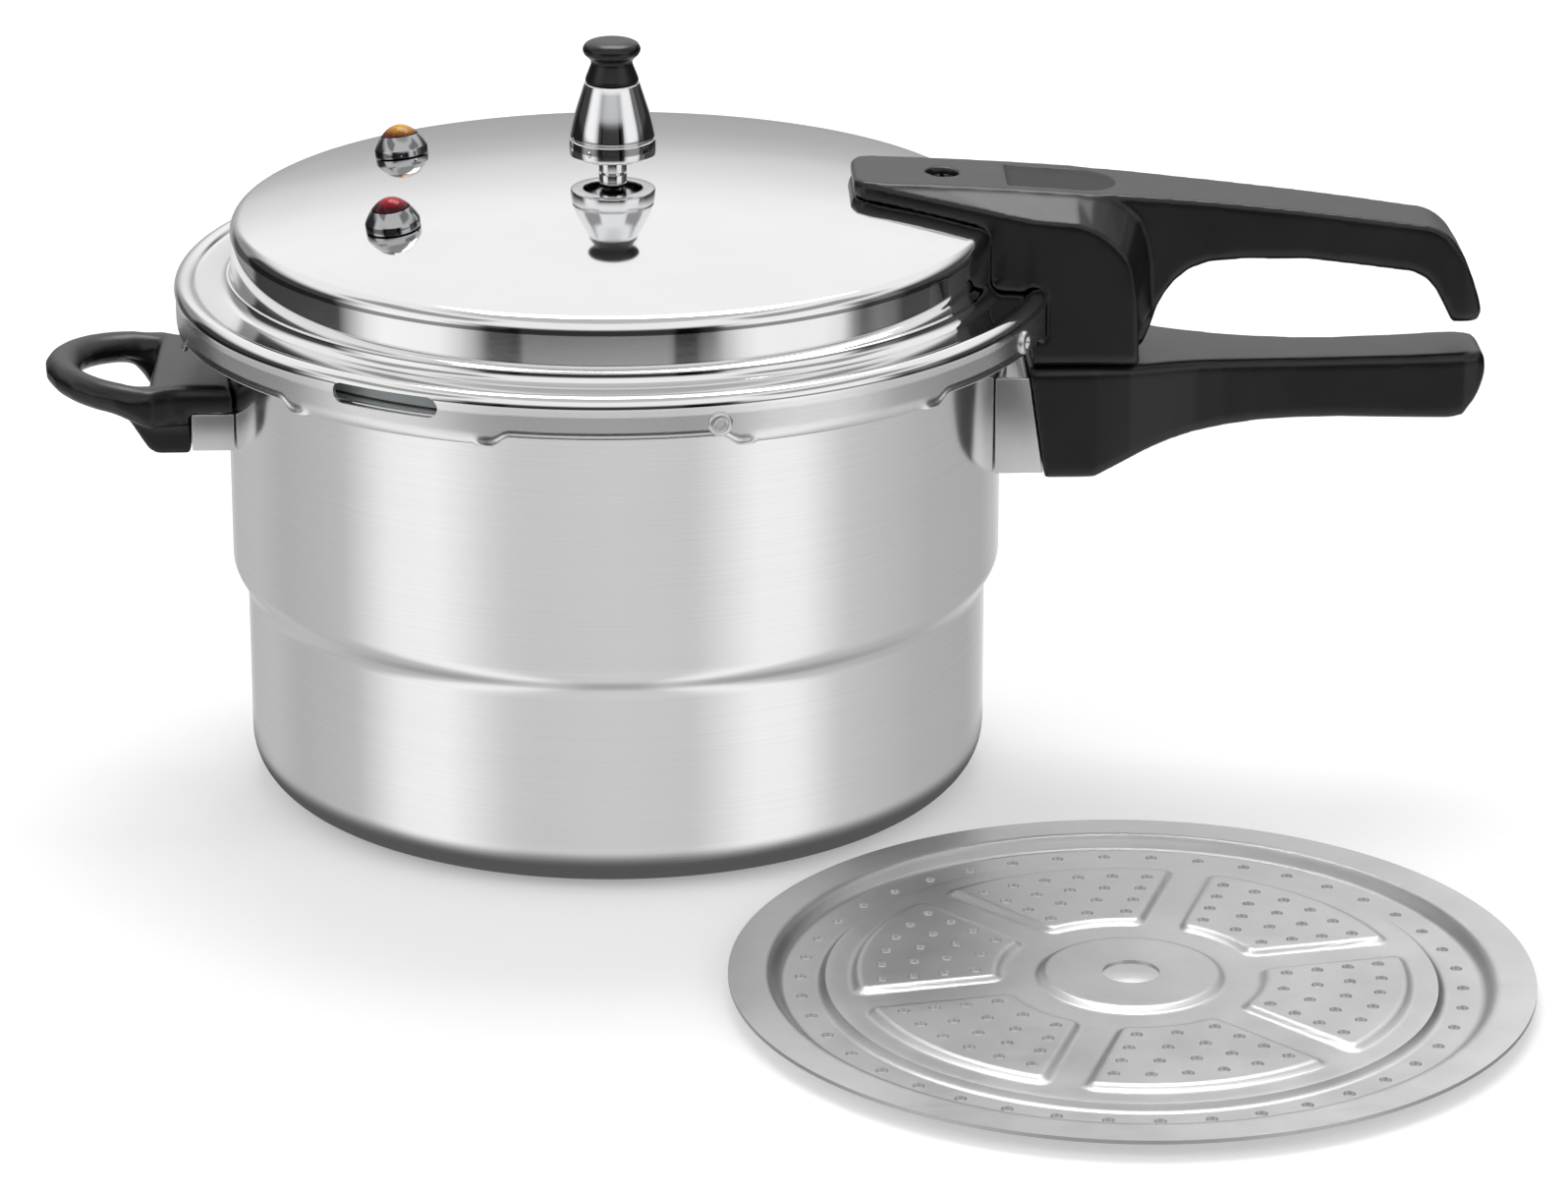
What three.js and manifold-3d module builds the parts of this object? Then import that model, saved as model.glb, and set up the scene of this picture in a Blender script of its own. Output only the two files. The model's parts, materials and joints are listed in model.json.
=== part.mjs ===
// Stovetop pressure cooker with a bayonet lid, two long handles, a helper handle and a loose steam plate.
// Millimetres, +Z up. The origin is the centre of the base, and the long handles point along +X.
import * as THREE from 'three';
import { mergeGeometries, mergeVertices } from 'three/addons/utils/BufferGeometryUtils.js';
import Module from 'manifold-3d';

const wasm = await Module();
wasm.setup();

// Clearances
const FIT = 0.3; // between pieces that sit against each other
const LUG_PLAY = 0.4; // lid lugs below pot lugs
const BORE_PLAY = 0.35; // a stem, screw or pipe in its hole, on the radius

// Facets
const ROUND = 30; // sides of the large turned pieces
const MEDIUM_ROUND = 16; // sides of the weight, knob and valve domes
const SMALL_ROUND = 10; // sides of screws, washers and pipes
const HOLE_SIDES = 4; // sides of the plate's steam holes

// Pot body
const POT_R = 123; // outer radius above the step
const POT_STEP = 4.5; // how far the wall steps in below the ledge
const POT_WALL = 2;
const POT_FLOOR = 3;
const POT_CORNER_R = 15.5;
const STEP_Z = 63.5; // where the step starts
const STEP_RISE = 11.5;
const RIM_Z = 157; // top of the rim that the seal lies on
const RIM_THICK = 4.2;
const RIM_WIDTH = 5.5; // how far the rim stands out from the wall

// Bayonet: lid lobes and pot lugs share one pattern, with one lobe over the long handle
const LUG_COUNT = 6;
const LUG_SPAN = 29; // degrees
const LUG_REACH = 5.5; // how far a pot lug stands out past the rim
const LID_LUG_THICK = 2.2;
const LID_LUG_GAP = 1.2; // radial room between a lid lug and the pot rim
const SKIRT_GAP = 3.2; // radial room between a pot lug and the lid skirt

// Lid
const LID_SHEET = 1.8;
const LID_BAND_IN = 2; // how far the lid's upright band lies inside the pot's wall
const LID_HEIGHT = 31; // flange to crown
const CROWN_R = 580; // radius of the domed top
const LID_EDGE_R = 5;
const FLANGE_FILLET = 4;
const FLANGE_DISH = 1.8; // how far the flange lies below the top of the bead at its outer edge
const SKIRT_BEAD = 3.5; // rounding of the bead
const SKIRT_CREASE = 0.4; // the skirt below the bead stands this much further in
const SKIRT_RAISE = 3.3; // how far the skirt's edge rises between the lobes
const SKIRT_RAMP = 5.5; // length of the slope where the edge rises
const SEAL_HEIGHT = 5.3;
const SEAL_WIDTH = 8.5;
const WINDOW_LENGTH = 36.5; // relief window in the skirt
const WINDOW_HEIGHT = 6.4;
const WINDOW_DROP = 5.8; // flange to the window's middle
const WINDOW_LOBE = 4; // lobe that has the window, counted from the handle
const STOP_BEARINGS = [-24, -77]; // stop rivets between the lobes, degrees from +X
const STOP_DROP = 9.2; // flange to the stop rivet
const STOP_R = 2.1;
const STOP_HEAD_R = 3.9;

// Vent pipe and pressure weight
const PIPE_R = 3.2;
const PIPE_BORE_R = 1.25;
const PIPE_THREAD_R = 3.7;
const PIPE_COLLAR_R = 4.5;
const PIPE_COLLAR_H = 5.2;
const PIPE_RISE = 22; // crown to the mouth of the pipe
const PIPE_TAIL = 14; // crown down to the lower end
const NUT_H = 5;
const NUT_R = 8;
const WASHER_H = 2;
const WASHER_R = 7.6;
const FILTER_R = 11;
const FILTER_H = 12;
const FILTER_WALL = 1;
const FILTER_SLOTS = 6;
const FILTER_SLOT_W = 3;
const WEIGHT_R = 13.9;
const WEIGHT_TOP_R = 8.6;
const WEIGHT_LIFT = 5.6; // crown to the underside of the weight
const WEIGHT_H = 23.6;
const WEIGHT_BAND = 6; // height of the straight band at the foot
const WEIGHT_MOUTH_R = 9.5;
const WEIGHT_MOUTH_H = 7;
const WEIGHT_STUD_R = 3;
const WEIGHT_STUD_H = 7;
const NEEDLE_R = 0.9;
const NEEDLE_H = 2.4;
const KNOB_R = 9.1;
const KNOB_NECK_R = 6.2;
const KNOB_FOOT_R = 8.4;
const KNOB_H = 13.2;

// Float valve and safety valve: two like housings on one ring
const VALVE_RING = 80;
const VALVE_SPREAD = 32; // degrees either side of the line through the helper handle
const VALVE_R = 8.6;
const VALVE_H = 9.8;
const JEWEL_R = 5.3;
const JEWEL_SEAT = 3; // depth of the jewel's recess
const VALVE_THREAD_R = 4.2;
const STEM_R = 2;
const FLOAT_TRAVEL = 4;
const FLOAT_SEAL_H = 1.6;
const FLOAT_FOOT_H = 1.6;
const FLOAT_FOOT_R = 4.6;
const VALVE_NUT_R = 7.5;
const VALVE_NUT_H = 4;
const VALVE_WASHER_H = 2;

// Long handles, measured outward from the lid's skirt and up or down from the plane where they meet
const HANDLE_SPLIT = 16.5; // rim to the plane between pot handle and lid handle
const ROOT_HALF = 30; // half width of both handles at the pot
const GRIP_HALF = 13;
const POT_GRIP_H = 21;
const POT_ROOT_H = 37;
const POT_HANDLE_REACH = 138.5; // skirt to the tip
const LID_GRIP_H = 16;
const FINGER_GAP = 30; // height of the space between the grips
const LID_HANDLE_REACH = 136.5;
const LID_NOSE = 63.5; // skirt back to the nose on the lid
const NOSE_HALF = 17.5;
const NOSE_H = 5.3; // nose above the lid
const HANDLE_SLANT = 0.15; // lean of the pot handle's root face
const HANDLE_EDGE = 2; // small rounding of the handles' long edges
const LABEL_FROM = 15; // shallow recess on the lid handle, from the skirt inwards
const LABEL_LENGTH = 35;
const LABEL_HALF = 12;
const LABEL_DEPTH = 0.8;
const LID_SCREW_IN = 35; // skirt back to the lid handle's screw
const SCREW_HEAD_R = 4.6;
const SCREW_HEAD_H = 2.6;
const SCREW_SINK_R = 5.2;
const SCREW_R = 2.5;
const SCREW_SINK = 4.4;
const STRAP_T = 2;
const STRAP_HALF = 9;
const STRAP_BACK = 51; // skirt back to the strap's end on the lid

// Sheet brackets that carry the pot's two handles
const BRACKET_T = 1.8;
const BRACKET_HALF = 29;
const BRACKET_FLANGE = 14; // width of the wings, turned in against the wall
const POT_BRACKET_TOP = 20; // rim to the bracket's top edge
const POT_BRACKET_H = 31.5;
const POT_BRACKET_OUT = 7.5; // wall to the bracket's outer face, at its top
const HELPER_BRACKET_TOP = 29.5;
const HELPER_BRACKET_H = 12;
const HELPER_BRACKET_OUT = 10.2;
const POT_SCREW_LENGTH = 26;
const HELPER_SCREW_LENGTH = 13;

// Helper handle
const HELPER_REACH = 58; // wall to the far end of the loop
const HELPER_HALF = 34.6;
const HELPER_TOP = 20.6; // rim to the loop's top
const HELPER_LOOP_H = 13;
const HELPER_RIM = 11; // width of the loop round the finger hole
const HELPER_HOLE = 23; // finger hole, along X
const HELPER_BLOCK_H = 22.5;
const HELPER_BLOCK_LENGTH = 14;
const HELPER_EDGE = 3.2;

// Steam plate, which lies on the table beside the pot
const PLATE_SEAT = 3; // how far it overlaps the pot's inner ledge in use
const PLATE_SHEET = 1.2;
const PLATE_APART = 3; // space between the pot's upper wall and the plate
const PLATE_BEARING = -52; // degrees from +X
const PLATE_FLANGE = 11.3;
const PLATE_SLOPE = 4.6; // width of the slope between flange and channel
const PLATE_DEPTH = 4; // channel below the flange
const CHANNEL_WIDTH = 11;
const CHANNEL_RISE = 2; // panel floor above the channel
const CHANNEL_HOLES = 42;
const CHANNEL_SLOPE = 2.2;
const PANEL_COUNT = 6;
const PANEL_RISE = 1.5;
const PANEL_OUT = 7; // channel slope to a panel's outer edge
const PANEL_IN_R = 38;
const PANEL_GAP = 10; // straight bar between two panels
const PANEL_TURN = 72; // degrees from +X to one bar
const PANEL_CORNER = 4;
const PANEL_SLOPE = 1.7;
const PANEL_ROWS = [6, 5, 4, 3]; // steam holes in each row, outermost first
const ROW_PITCH = 9.3;
const ROW_INSET = 9.5; // panel's outer edge to its first row
const HUB_R = 28;
const HUB_SLOPE = 2.2;
const HUB_HOLE_R = 8.5;
const STEAM_HOLE_R = 1.8;

// Levels and radii that follow from the sizes above
const lowR = POT_R - POT_STEP;
const rimR = POT_R + RIM_WIDTH;
const lugR = rimR + LUG_REACH;
const rimLow = RIM_Z - RIM_THICK;
const lobeLow = rimLow - LUG_PLAY - LID_LUG_THICK;
const dishZ = RIM_Z + FIT + SEAL_HEIGHT + FIT + LID_SHEET;
const flangeZ = dishZ + FLANGE_DISH;
const crownZ = flangeZ + LID_HEIGHT;
const bandR = POT_R - LID_BAND_IN;
const skirtR = lugR + SKIRT_GAP + LID_SHEET;
const splitZ = RIM_Z - HANDLE_SPLIT;
const plateR = lowR - POT_WALL + PLATE_SEAT;

const aluminium = () => new THREE.MeshStandardMaterial({ color: 0xc9cacc, roughness: 0.35, metalness: 1 });
const polished = () => new THREE.MeshStandardMaterial({ color: 0xe3e4e6, roughness: 0.08, metalness: 1 });
const chrome = () => new THREE.MeshStandardMaterial({ color: 0xdadcde, roughness: 0.05, metalness: 1 });
const steel = () => new THREE.MeshStandardMaterial({ color: 0xa9abad, roughness: 0.3, metalness: 1 });
const blackened = () => new THREE.MeshStandardMaterial({ color: 0x2a2a2b, roughness: 0.4, metalness: 1 });
const phenolic = () => new THREE.MeshStandardMaterial({ color: 0x17171a, roughness: 0.4, metalness: 0 });
const rubber = () => new THREE.MeshStandardMaterial({ color: 0xb9bcbd, roughness: 0.6, metalness: 0 });
const red = () => new THREE.MeshStandardMaterial({ color: 0xb5121d, roughness: 0.2, metalness: 0 });
const amber = () => new THREE.MeshStandardMaterial({ color: 0xe08a12, roughness: 0.2, metalness: 0 });

const rad = THREE.MathUtils.degToRad;
const lerp = THREE.MathUtils.lerp;

// Closed solid from a geometry: corners are welded, slivers at the axis dropped, and faces turned out
function solidOf(geometry) {
  const bare = new THREE.BufferGeometry().setAttribute('position', geometry.getAttribute('position'));
  if (geometry.index) bare.setIndex(geometry.index);
  const welded = mergeVertices(bare);
  const index = welded.index.array;
  const corners = [];
  for (let i = 0; i < index.length; i += 3) {
    const [a, b, c] = index.slice(i, i + 3);
    if (a !== b && b !== c && c !== a) corners.push(a, b, c);
  }
  const build = (triVerts) =>
    new wasm.Manifold(
      new wasm.Mesh({
        numProp: 3,
        vertProperties: new Float32Array(welded.getAttribute('position').array),
        triVerts: new Uint32Array(triVerts),
      }),
    );
  const solid = build(corners);
  return solid.volume() > 0 ? solid : build(corners.reverse());
}

function geometryOf(solid) {
  const { numProp, numVert, vertProperties, triVerts } = solid.getMesh();
  const position = new Float32Array(numVert * 3);
  for (let i = 0; i < numVert; i++) {
    position.set(vertProperties.subarray(i * numProp, i * numProp + 3), i * 3);
  }
  return new THREE.BufferGeometry()
    .setAttribute('position', new THREE.BufferAttribute(position, 3))
    .setIndex(new THREE.BufferAttribute(triVerts, 1));
}

const join = (first, ...rest) =>
  geometryOf(rest.reduce((whole, piece) => whole.add(solidOf(piece)), solidOf(first)));
const cut = (first, ...tools) =>
  geometryOf(tools.reduce((left, tool) => left.subtract(solidOf(tool)), solidOf(first)));
const common = (first, second) => geometryOf(solidOf(first).intersect(solidOf(second)));

// Named piece, closed and facing out whichever way its outline ran
function piece(name, geometry, material) {
  const closed = geometryOf(solidOf(geometry));
  closed.computeVertexNormals();
  const mesh = new THREE.Mesh(closed, material);
  mesh.name = name;
  return mesh;
}

// Points on an arc of a profile, angles in degrees
function arc(r, z, radius, from, to, steps) {
  return Array.from({ length: steps + 1 }, (_, i) => {
    const angle = rad(lerp(from, to, i / steps));
    return [r + radius * Math.cos(angle), z + radius * Math.sin(angle)];
  });
}

function revolve(profile, sides) {
  const points = profile.map(([r, z]) => new THREE.Vector2(Math.max(r, 0), z));
  return new THREE.LatheGeometry(points, sides).rotateX(Math.PI / 2);
}

// Ring or tube between two radii, turned about Z
const collar = (inner, outer, low, high, sides = SMALL_ROUND) =>
  revolve([[inner, low], [outer, low], [outer, high], [inner, high], [inner, low]], sides);

const rod = (radius, low, high, sides = SMALL_ROUND) =>
  revolve([[0, low], [radius, low], [radius, high], [0, high]], sides);

function prism(shape, low, high, curveSegments = 2) {
  const solid = new THREE.ExtrudeGeometry(shape, { depth: high - low, bevelEnabled: false, curveSegments });
  return solid.translate(0, 0, low);
}

function block(x0, x1, y0, y1, z0, z1) {
  const box = new THREE.BoxGeometry(x1 - x0, y1 - y0, z1 - z0);
  return box.translate((x0 + x1) / 2, (y0 + y1) / 2, (z0 + z1) / 2);
}

// Part of a flat ring, centred on a bearing
function ringSector(inner, outer, span, bearing) {
  const from = rad(bearing - span / 2);
  const to = rad(bearing + span / 2);
  const shape = new THREE.Shape();
  shape.absarc(0, 0, outer, from, to, false);
  shape.absarc(0, 0, inner, to, from, true);
  shape.closePath();
  return shape;
}

// An outline drawn on the skirt, across and up, pushed straight through it at a bearing
function throughSkirt(shape, bearing, z, curveSegments = 2) {
  const depth = SKIRT_GAP + LUG_REACH + 2 * LID_SHEET;
  const tool = new THREE.ExtrudeGeometry(shape, { depth, bevelEnabled: false, curveSegments });
  tool.rotateX(Math.PI / 2).rotateZ(Math.PI / 2);
  return tool.translate(skirtR + LID_SHEET - depth, 0, z).rotateZ(rad(bearing));
}

// Skin over rings of points that all run the same way round, closed at both ends
function loft(rings) {
  const count = rings[0].length;
  const corners = [];
  for (let s = 0; s + 1 < rings.length; s++) {
    for (let i = 0; i < count; i++) {
      const j = (i + 1) % count;
      const [a, b] = [s * count + i, s * count + j];
      corners.push(a, b, b + count, a, b + count, a + count);
    }
  }
  const last = (rings.length - 1) * count;
  for (let i = 1; i + 1 < count; i++) {
    corners.push(0, i + 1, i);
    corners.push(last, last + i, last + i + 1);
  }
  const position = new THREE.Float32BufferAttribute(rings.flat(2), 3);
  return new THREE.BufferGeometry().setAttribute('position', position).setIndex(corners);
}

// Stations of a loft with more of them put in, on a smooth curve through the given ones
function eased(stations, parts) {
  const at = (i) => stations[THREE.MathUtils.clamp(i, 0, stations.length - 1)];
  const rows = [];
  for (let i = 0; i + 1 < stations.length; i++) {
    for (let k = 0; k < parts; k++) {
      const t = k / parts;
      rows.push(
        at(i).map((here, c) => {
          const [before, next, after] = [at(i - 1)[c], at(i + 1)[c], at(i + 2)[c]];
          const bend = 2 * before - 5 * here + 4 * next - after;
          const twist = 3 * here - before - 3 * next + after;
          return here + (t / 2) * (next - before + t * (bend + t * twist));
        }),
      );
    }
  }
  return [...rows, stations[stations.length - 1]];
}

// Wall of the step: an easy curve from one radius to the next
function stepCurve(from, to) {
  const steps = 3;
  return Array.from({ length: steps + 1 }, (_, i) => {
    const t = i / steps;
    return [lerp(from, to, (1 - Math.cos(Math.PI * t)) / 2), STEP_Z + STEP_RISE * t];
  });
}

function potBody() {
  const innerCorner = POT_CORNER_R - POT_WALL;
  const shell = revolve(
    [
      [0, 0],
      ...arc(lowR - POT_CORNER_R, POT_CORNER_R, POT_CORNER_R, -90, 0, 3),
      ...stepCurve(lowR, POT_R),
      [POT_R, rimLow],
      [rimR, rimLow],
      [rimR, RIM_Z],
      [POT_R - POT_WALL, RIM_Z],
      ...stepCurve(lowR - POT_WALL, POT_R - POT_WALL).reverse(),
      ...arc(lowR - POT_CORNER_R, POT_FLOOR + innerCorner, innerCorner, 0, -90, 2),
      [0, POT_FLOOR],
    ],
    ROUND,
  );
  const lugs = [];
  for (let i = 0; i < LUG_COUNT; i++) {
    const lug = ringSector(rimR - RIM_WIDTH / 2, lugR, LUG_SPAN, (360 / LUG_COUNT) * i);
    lugs.push(prism(lug, rimLow, RIM_Z));
  }
  return join(shell, ...lugs);
}

// Profile of the lid's outside from the crown to the foot of the skirt, grown by a distance
function lidOutside(grow) {
  const edgeR = LID_EDGE_R + grow;
  const crown = CROWN_R + grow;
  const edgeIn = bandR - LID_EDGE_R;
  const middle = crownZ - CROWN_R;
  const lift = Math.sqrt((CROWN_R - LID_EDGE_R) ** 2 - edgeIn ** 2);
  const meet = THREE.MathUtils.radToDeg(Math.atan2(lift, edgeIn));
  const bead = SKIRT_BEAD + grow;
  const fillet = FLANGE_FILLET - grow;
  const foot = THREE.MathUtils.radToDeg(Math.asin((bead - FLANGE_DISH) / bead));
  return [
    ...arc(0, middle, crown, 90, meet, 4),
    ...arc(edgeIn, middle + lift, edgeR, meet, 0, 3).slice(1),
    ...arc(bandR + FLANGE_FILLET, dishZ + FLANGE_FILLET, fillet, 180, 270, 2),
    ...arc(skirtR - SKIRT_BEAD, flangeZ - SKIRT_BEAD, bead, 180 - foot, 0, 4),
  ];
}

// Solid that holds the lid and a margin round it
const lidEnvelope = (grow) =>
  revolve([...lidOutside(grow), [skirtR + grow, lobeLow - grow], [0, lobeLow - grow]], ROUND);

// Inside of the lid above its flange, as a profile from the flange to the axis
function lidInside() {
  const edgeIn = bandR - LID_EDGE_R;
  const middle = crownZ - CROWN_R;
  const lift = Math.sqrt((CROWN_R - LID_EDGE_R) ** 2 - edgeIn ** 2);
  const meet = THREE.MathUtils.radToDeg(Math.atan2(lift, edgeIn));
  return [
    ...arc(edgeIn, middle + lift, LID_EDGE_R - LID_SHEET, 0, meet, 2),
    ...arc(0, middle, CROWN_R - LID_SHEET, meet, 90, 4).slice(1),
  ];
}

function lidShell() {
  const skirtOut = skirtR - SKIRT_CREASE;
  const skirtIn = skirtR - LID_SHEET;
  const beadZ = flangeZ - SKIRT_BEAD;
  const sheet = revolve(
    [
      ...lidOutside(0),
      [skirtOut, beadZ - SKIRT_CREASE],
      [skirtOut, lobeLow],
      [skirtIn, lobeLow],
      [skirtIn, beadZ],
      [skirtR - SKIRT_BEAD, flangeZ - LID_SHEET],
      [skirtR - 2 * SKIRT_BEAD, dishZ - LID_SHEET],
      [bandR - LID_SHEET, dishZ - LID_SHEET],
      ...lidInside(),
    ],
    ROUND,
  );
  const pitch = 360 / LUG_COUNT;
  const rises = [];
  const lugs = [];
  for (let i = 0; i < LUG_COUNT; i++) {
    rises.push(throughSkirt(skirtRise(), pitch * (i + 0.5), lobeLow));
    const lug = ringSector(rimR + LID_LUG_GAP, skirtR - LID_SHEET / 2, LUG_SPAN, pitch * i);
    lugs.push(prism(lug, lobeLow, lobeLow + LID_LUG_THICK));
  }
  const slot = stadium(WINDOW_LENGTH, WINDOW_HEIGHT);
  const window = throughSkirt(slot, pitch * WINDOW_LOBE, flangeZ - WINDOW_DROP);
  const stops = STOP_BEARINGS.map((bearing) => {
    const hole = new THREE.Shape().absarc(0, 0, STOP_R + FIT, 0, 2 * Math.PI);
    return throughSkirt(hole, bearing, flangeZ - STOP_DROP, SMALL_ROUND / 2);
  });
  const ventHole = rod(PIPE_THREAD_R + BORE_PLAY, crownZ - 2 * LID_EDGE_R, crownZ + LID_EDGE_R);
  const valveHoles = [-1, 1].map((side) => {
    const hole = rod(VALVE_THREAD_R + BORE_PLAY, -2 * LID_EDGE_R, LID_EDGE_R);
    return hole.applyMatrix4(valveFrame(side));
  });
  const trimmed = cut(sheet, ...rises, window, ...stops, ventHole, ...valveHoles);
  return join(trimmed, ...lugs);
}

// Cut that raises the skirt's edge between two lobes
function skirtRise() {
  const half = skirtR * Math.sin(rad((360 / LUG_COUNT - LUG_SPAN) / 2));
  const shape = new THREE.Shape();
  shape.moveTo(-half, -SKIRT_RAISE);
  shape.lineTo(half, -SKIRT_RAISE);
  shape.lineTo(half, 0);
  shape.lineTo(half - SKIRT_RAMP, SKIRT_RAISE);
  shape.lineTo(SKIRT_RAMP - half, SKIRT_RAISE);
  shape.lineTo(-half, 0);
  return shape;
}

// Slot outline with round ends, about its middle
function stadium(length, width) {
  const straight = (length - width) / 2;
  const shape = new THREE.Shape();
  shape.absarc(straight, 0, width / 2, -Math.PI / 2, Math.PI / 2);
  shape.absarc(-straight, 0, width / 2, Math.PI / 2, 1.5 * Math.PI);
  return shape;
}

// Hollow rivet through the skirt, its axis along X before it is turned to its bearing
function stopRivet(bearing) {
  const inside = -LID_SHEET - LUG_PLAY - FIT;
  const hollow = STOP_R - 0.7;
  const rivet = revolve(
    [
      [0, inside],
      [STOP_R, inside],
      [STOP_R, 0],
      [STOP_HEAD_R, 0],
      [STOP_HEAD_R - 0.6, 1.1],
      [STOP_R - 0.2, 1.3],
      [hollow, 0],
      [0, 0],
    ],
    SMALL_ROUND,
  );
  rivet.rotateY(Math.PI / 2).translate(skirtR - SKIRT_CREASE + FIT, 0, flangeZ - STOP_DROP);
  return rivet.rotateZ(rad(bearing));
}

// Seal between the pot's rim and the lid's flange, with a groove in its inner side
function sealingRing() {
  const low = RIM_Z + FIT;
  const high = low + SEAL_HEIGHT;
  const inner = POT_R - POT_WALL + FIT;
  const outer = inner + SEAL_WIDTH;
  return revolve(
    [
      [inner, low],
      [outer, low],
      [outer, high],
      [inner, high],
      [inner + SEAL_WIDTH / 2, (low + high) / 2],
      [inner, low],
    ],
    ROUND,
  );
}

// Hexagonal nut or collar round a hole
function hexNut(hole, corner, low, high) {
  const body = rod(corner, low, high, 6);
  return hole > 0 ? cut(body, rod(hole, low - 1, high + 1)) : body;
}

const ventMouth = crownZ + PIPE_RISE;

// Threaded pipe through the lid, with a round collar above it and an open bore
function ventPipe() {
  const low = crownZ - PIPE_TAIL;
  const collarTop = crownZ + FIT + PIPE_COLLAR_H;
  const stem = revolve(
    [
      [0, low],
      [PIPE_THREAD_R, low],
      [PIPE_THREAD_R, collarTop],
      [PIPE_R, collarTop],
      [PIPE_R, ventMouth - 1],
      [PIPE_R - 1, ventMouth],
      [0, ventMouth],
    ],
    SMALL_ROUND,
  );
  const shoulder = rod(PIPE_COLLAR_R, crownZ + FIT, collarTop);
  return cut(join(stem, shoulder), rod(PIPE_BORE_R, low - 1, ventMouth + 1, SMALL_ROUND / 2));
}

const ventWasherTop = crownZ - LID_SHEET - FIT;
const ventNutTop = ventWasherTop - WASHER_H - FIT;
const ventFilterTop = ventNutTop - NUT_H - FIT;

// Slotted cap below the nut that keeps food out of the pipe
function ventFilter() {
  const low = ventFilterTop - FILTER_H;
  const hole = PIPE_THREAD_R + BORE_PLAY;
  const cup = revolve(
    [
      [hole, ventFilterTop],
      [FILTER_R, ventFilterTop],
      [FILTER_R, low],
      [FILTER_R - FILTER_WALL, low],
      [FILTER_R - FILTER_WALL, ventFilterTop - FILTER_WALL],
      [hole, ventFilterTop - FILTER_WALL],
      [hole, ventFilterTop],
    ],
    SMALL_ROUND,
  );
  const slots = [];
  for (let i = 0; i < FILTER_SLOTS / 2; i++) {
    const half = FILTER_SLOT_W / 2;
    const [slotLow, slotTop] = [low + FILTER_H / 4, ventFilterTop - FILTER_H / 4];
    const slot = block(-2 * FILTER_R, 2 * FILTER_R, -half, half, slotLow, slotTop);
    slots.push(slot.rotateZ((2 * Math.PI * i) / FILTER_SLOTS));
  }
  return cut(cup, ...slots);
}

const weightLow = crownZ + WEIGHT_LIFT;
const weightTop = weightLow + WEIGHT_H;

// Weight that closes the pipe: a waisted cone with a needle inside and a stud on top
function pressureWeight() {
  const boreTop = ventMouth + FIT;
  const boreR = PIPE_R + BORE_PLAY;
  const bandTop = weightLow + WEIGHT_BAND;
  const flank = new THREE.QuadraticBezierCurve(
    new THREE.Vector2(WEIGHT_R, bandTop),
    new THREE.Vector2(WEIGHT_R - 0.6, lerp(bandTop, weightTop, 0.4)),
    new THREE.Vector2(WEIGHT_TOP_R, weightTop),
  );
  const foot = 0.8;
  return revolve(
    [
      [0, weightTop + WEIGHT_STUD_H],
      [WEIGHT_STUD_R, weightTop + WEIGHT_STUD_H],
      [WEIGHT_STUD_R, weightTop],
      ...flank.getPoints(5).reverse().map((p) => [p.x, p.y]),
      [WEIGHT_R, weightLow + foot],
      [WEIGHT_R - foot, weightLow],
      [WEIGHT_MOUTH_R, weightLow],
      [WEIGHT_MOUTH_R, weightLow + WEIGHT_MOUTH_H],
      [boreR, weightLow + WEIGHT_MOUTH_H],
      [boreR, boreTop],
      [NEEDLE_R, boreTop],
      [0, boreTop - NEEDLE_H],
    ],
    MEDIUM_ROUND,
  );
}

// Heat-proof knob pressed on the weight's stud
function weightKnob() {
  const low = weightTop + FIT;
  const boreR = WEIGHT_STUD_R + BORE_PLAY;
  const boreTop = weightTop + WEIGHT_STUD_H + FIT;
  const neckZ = low + KNOB_H * 0.42;
  const capR = (KNOB_H * 0.58) / 2;
  return revolve(
    [
      [boreR, low],
      [KNOB_FOOT_R, low],
      [KNOB_FOOT_R, low + 1],
      [KNOB_NECK_R, neckZ],
      ...arc(KNOB_R - capR, neckZ + capR, capR, -60, 80, 5),
      [0, low + KNOB_H],
      [0, boreTop],
      [boreR, boreTop],
      [boreR, low],
    ],
    MEDIUM_ROUND,
  );
}

// Place of a valve: on the lid's outer surface, its axis square to the dome
function valveFrame(side) {
  const tilt = Math.asin(VALVE_RING / CROWN_R);
  const bearing = Math.PI + rad(VALVE_SPREAD) * -side;
  const spot = new THREE.Vector3(VALVE_RING, 0, crownZ - CROWN_R + CROWN_R * Math.cos(tilt));
  return new THREE.Matrix4()
    .makeRotationZ(bearing)
    .multiply(new THREE.Matrix4().makeTranslation(spot))
    .multiply(new THREE.Matrix4().makeRotationY(tilt));
}

const seatFloor = VALVE_H - JEWEL_SEAT;
const valveWasherTop = -LID_SHEET - FIT;
const valveNutTop = valveWasherTop - VALVE_WASHER_H - FIT;
const valveFoot = valveNutTop - VALVE_NUT_H;

// Height of the domed housing at a radius, so that jewel and housing make one dome
const domeAt = (r) => VALVE_H * Math.sqrt(1 - (r / (VALVE_R * 1.08)) ** 2);

function domeProfile(from, to, steps) {
  return Array.from({ length: steps + 1 }, (_, i) => {
    const r = lerp(from, to, i / steps);
    return [r, domeAt(r)];
  });
}

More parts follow.
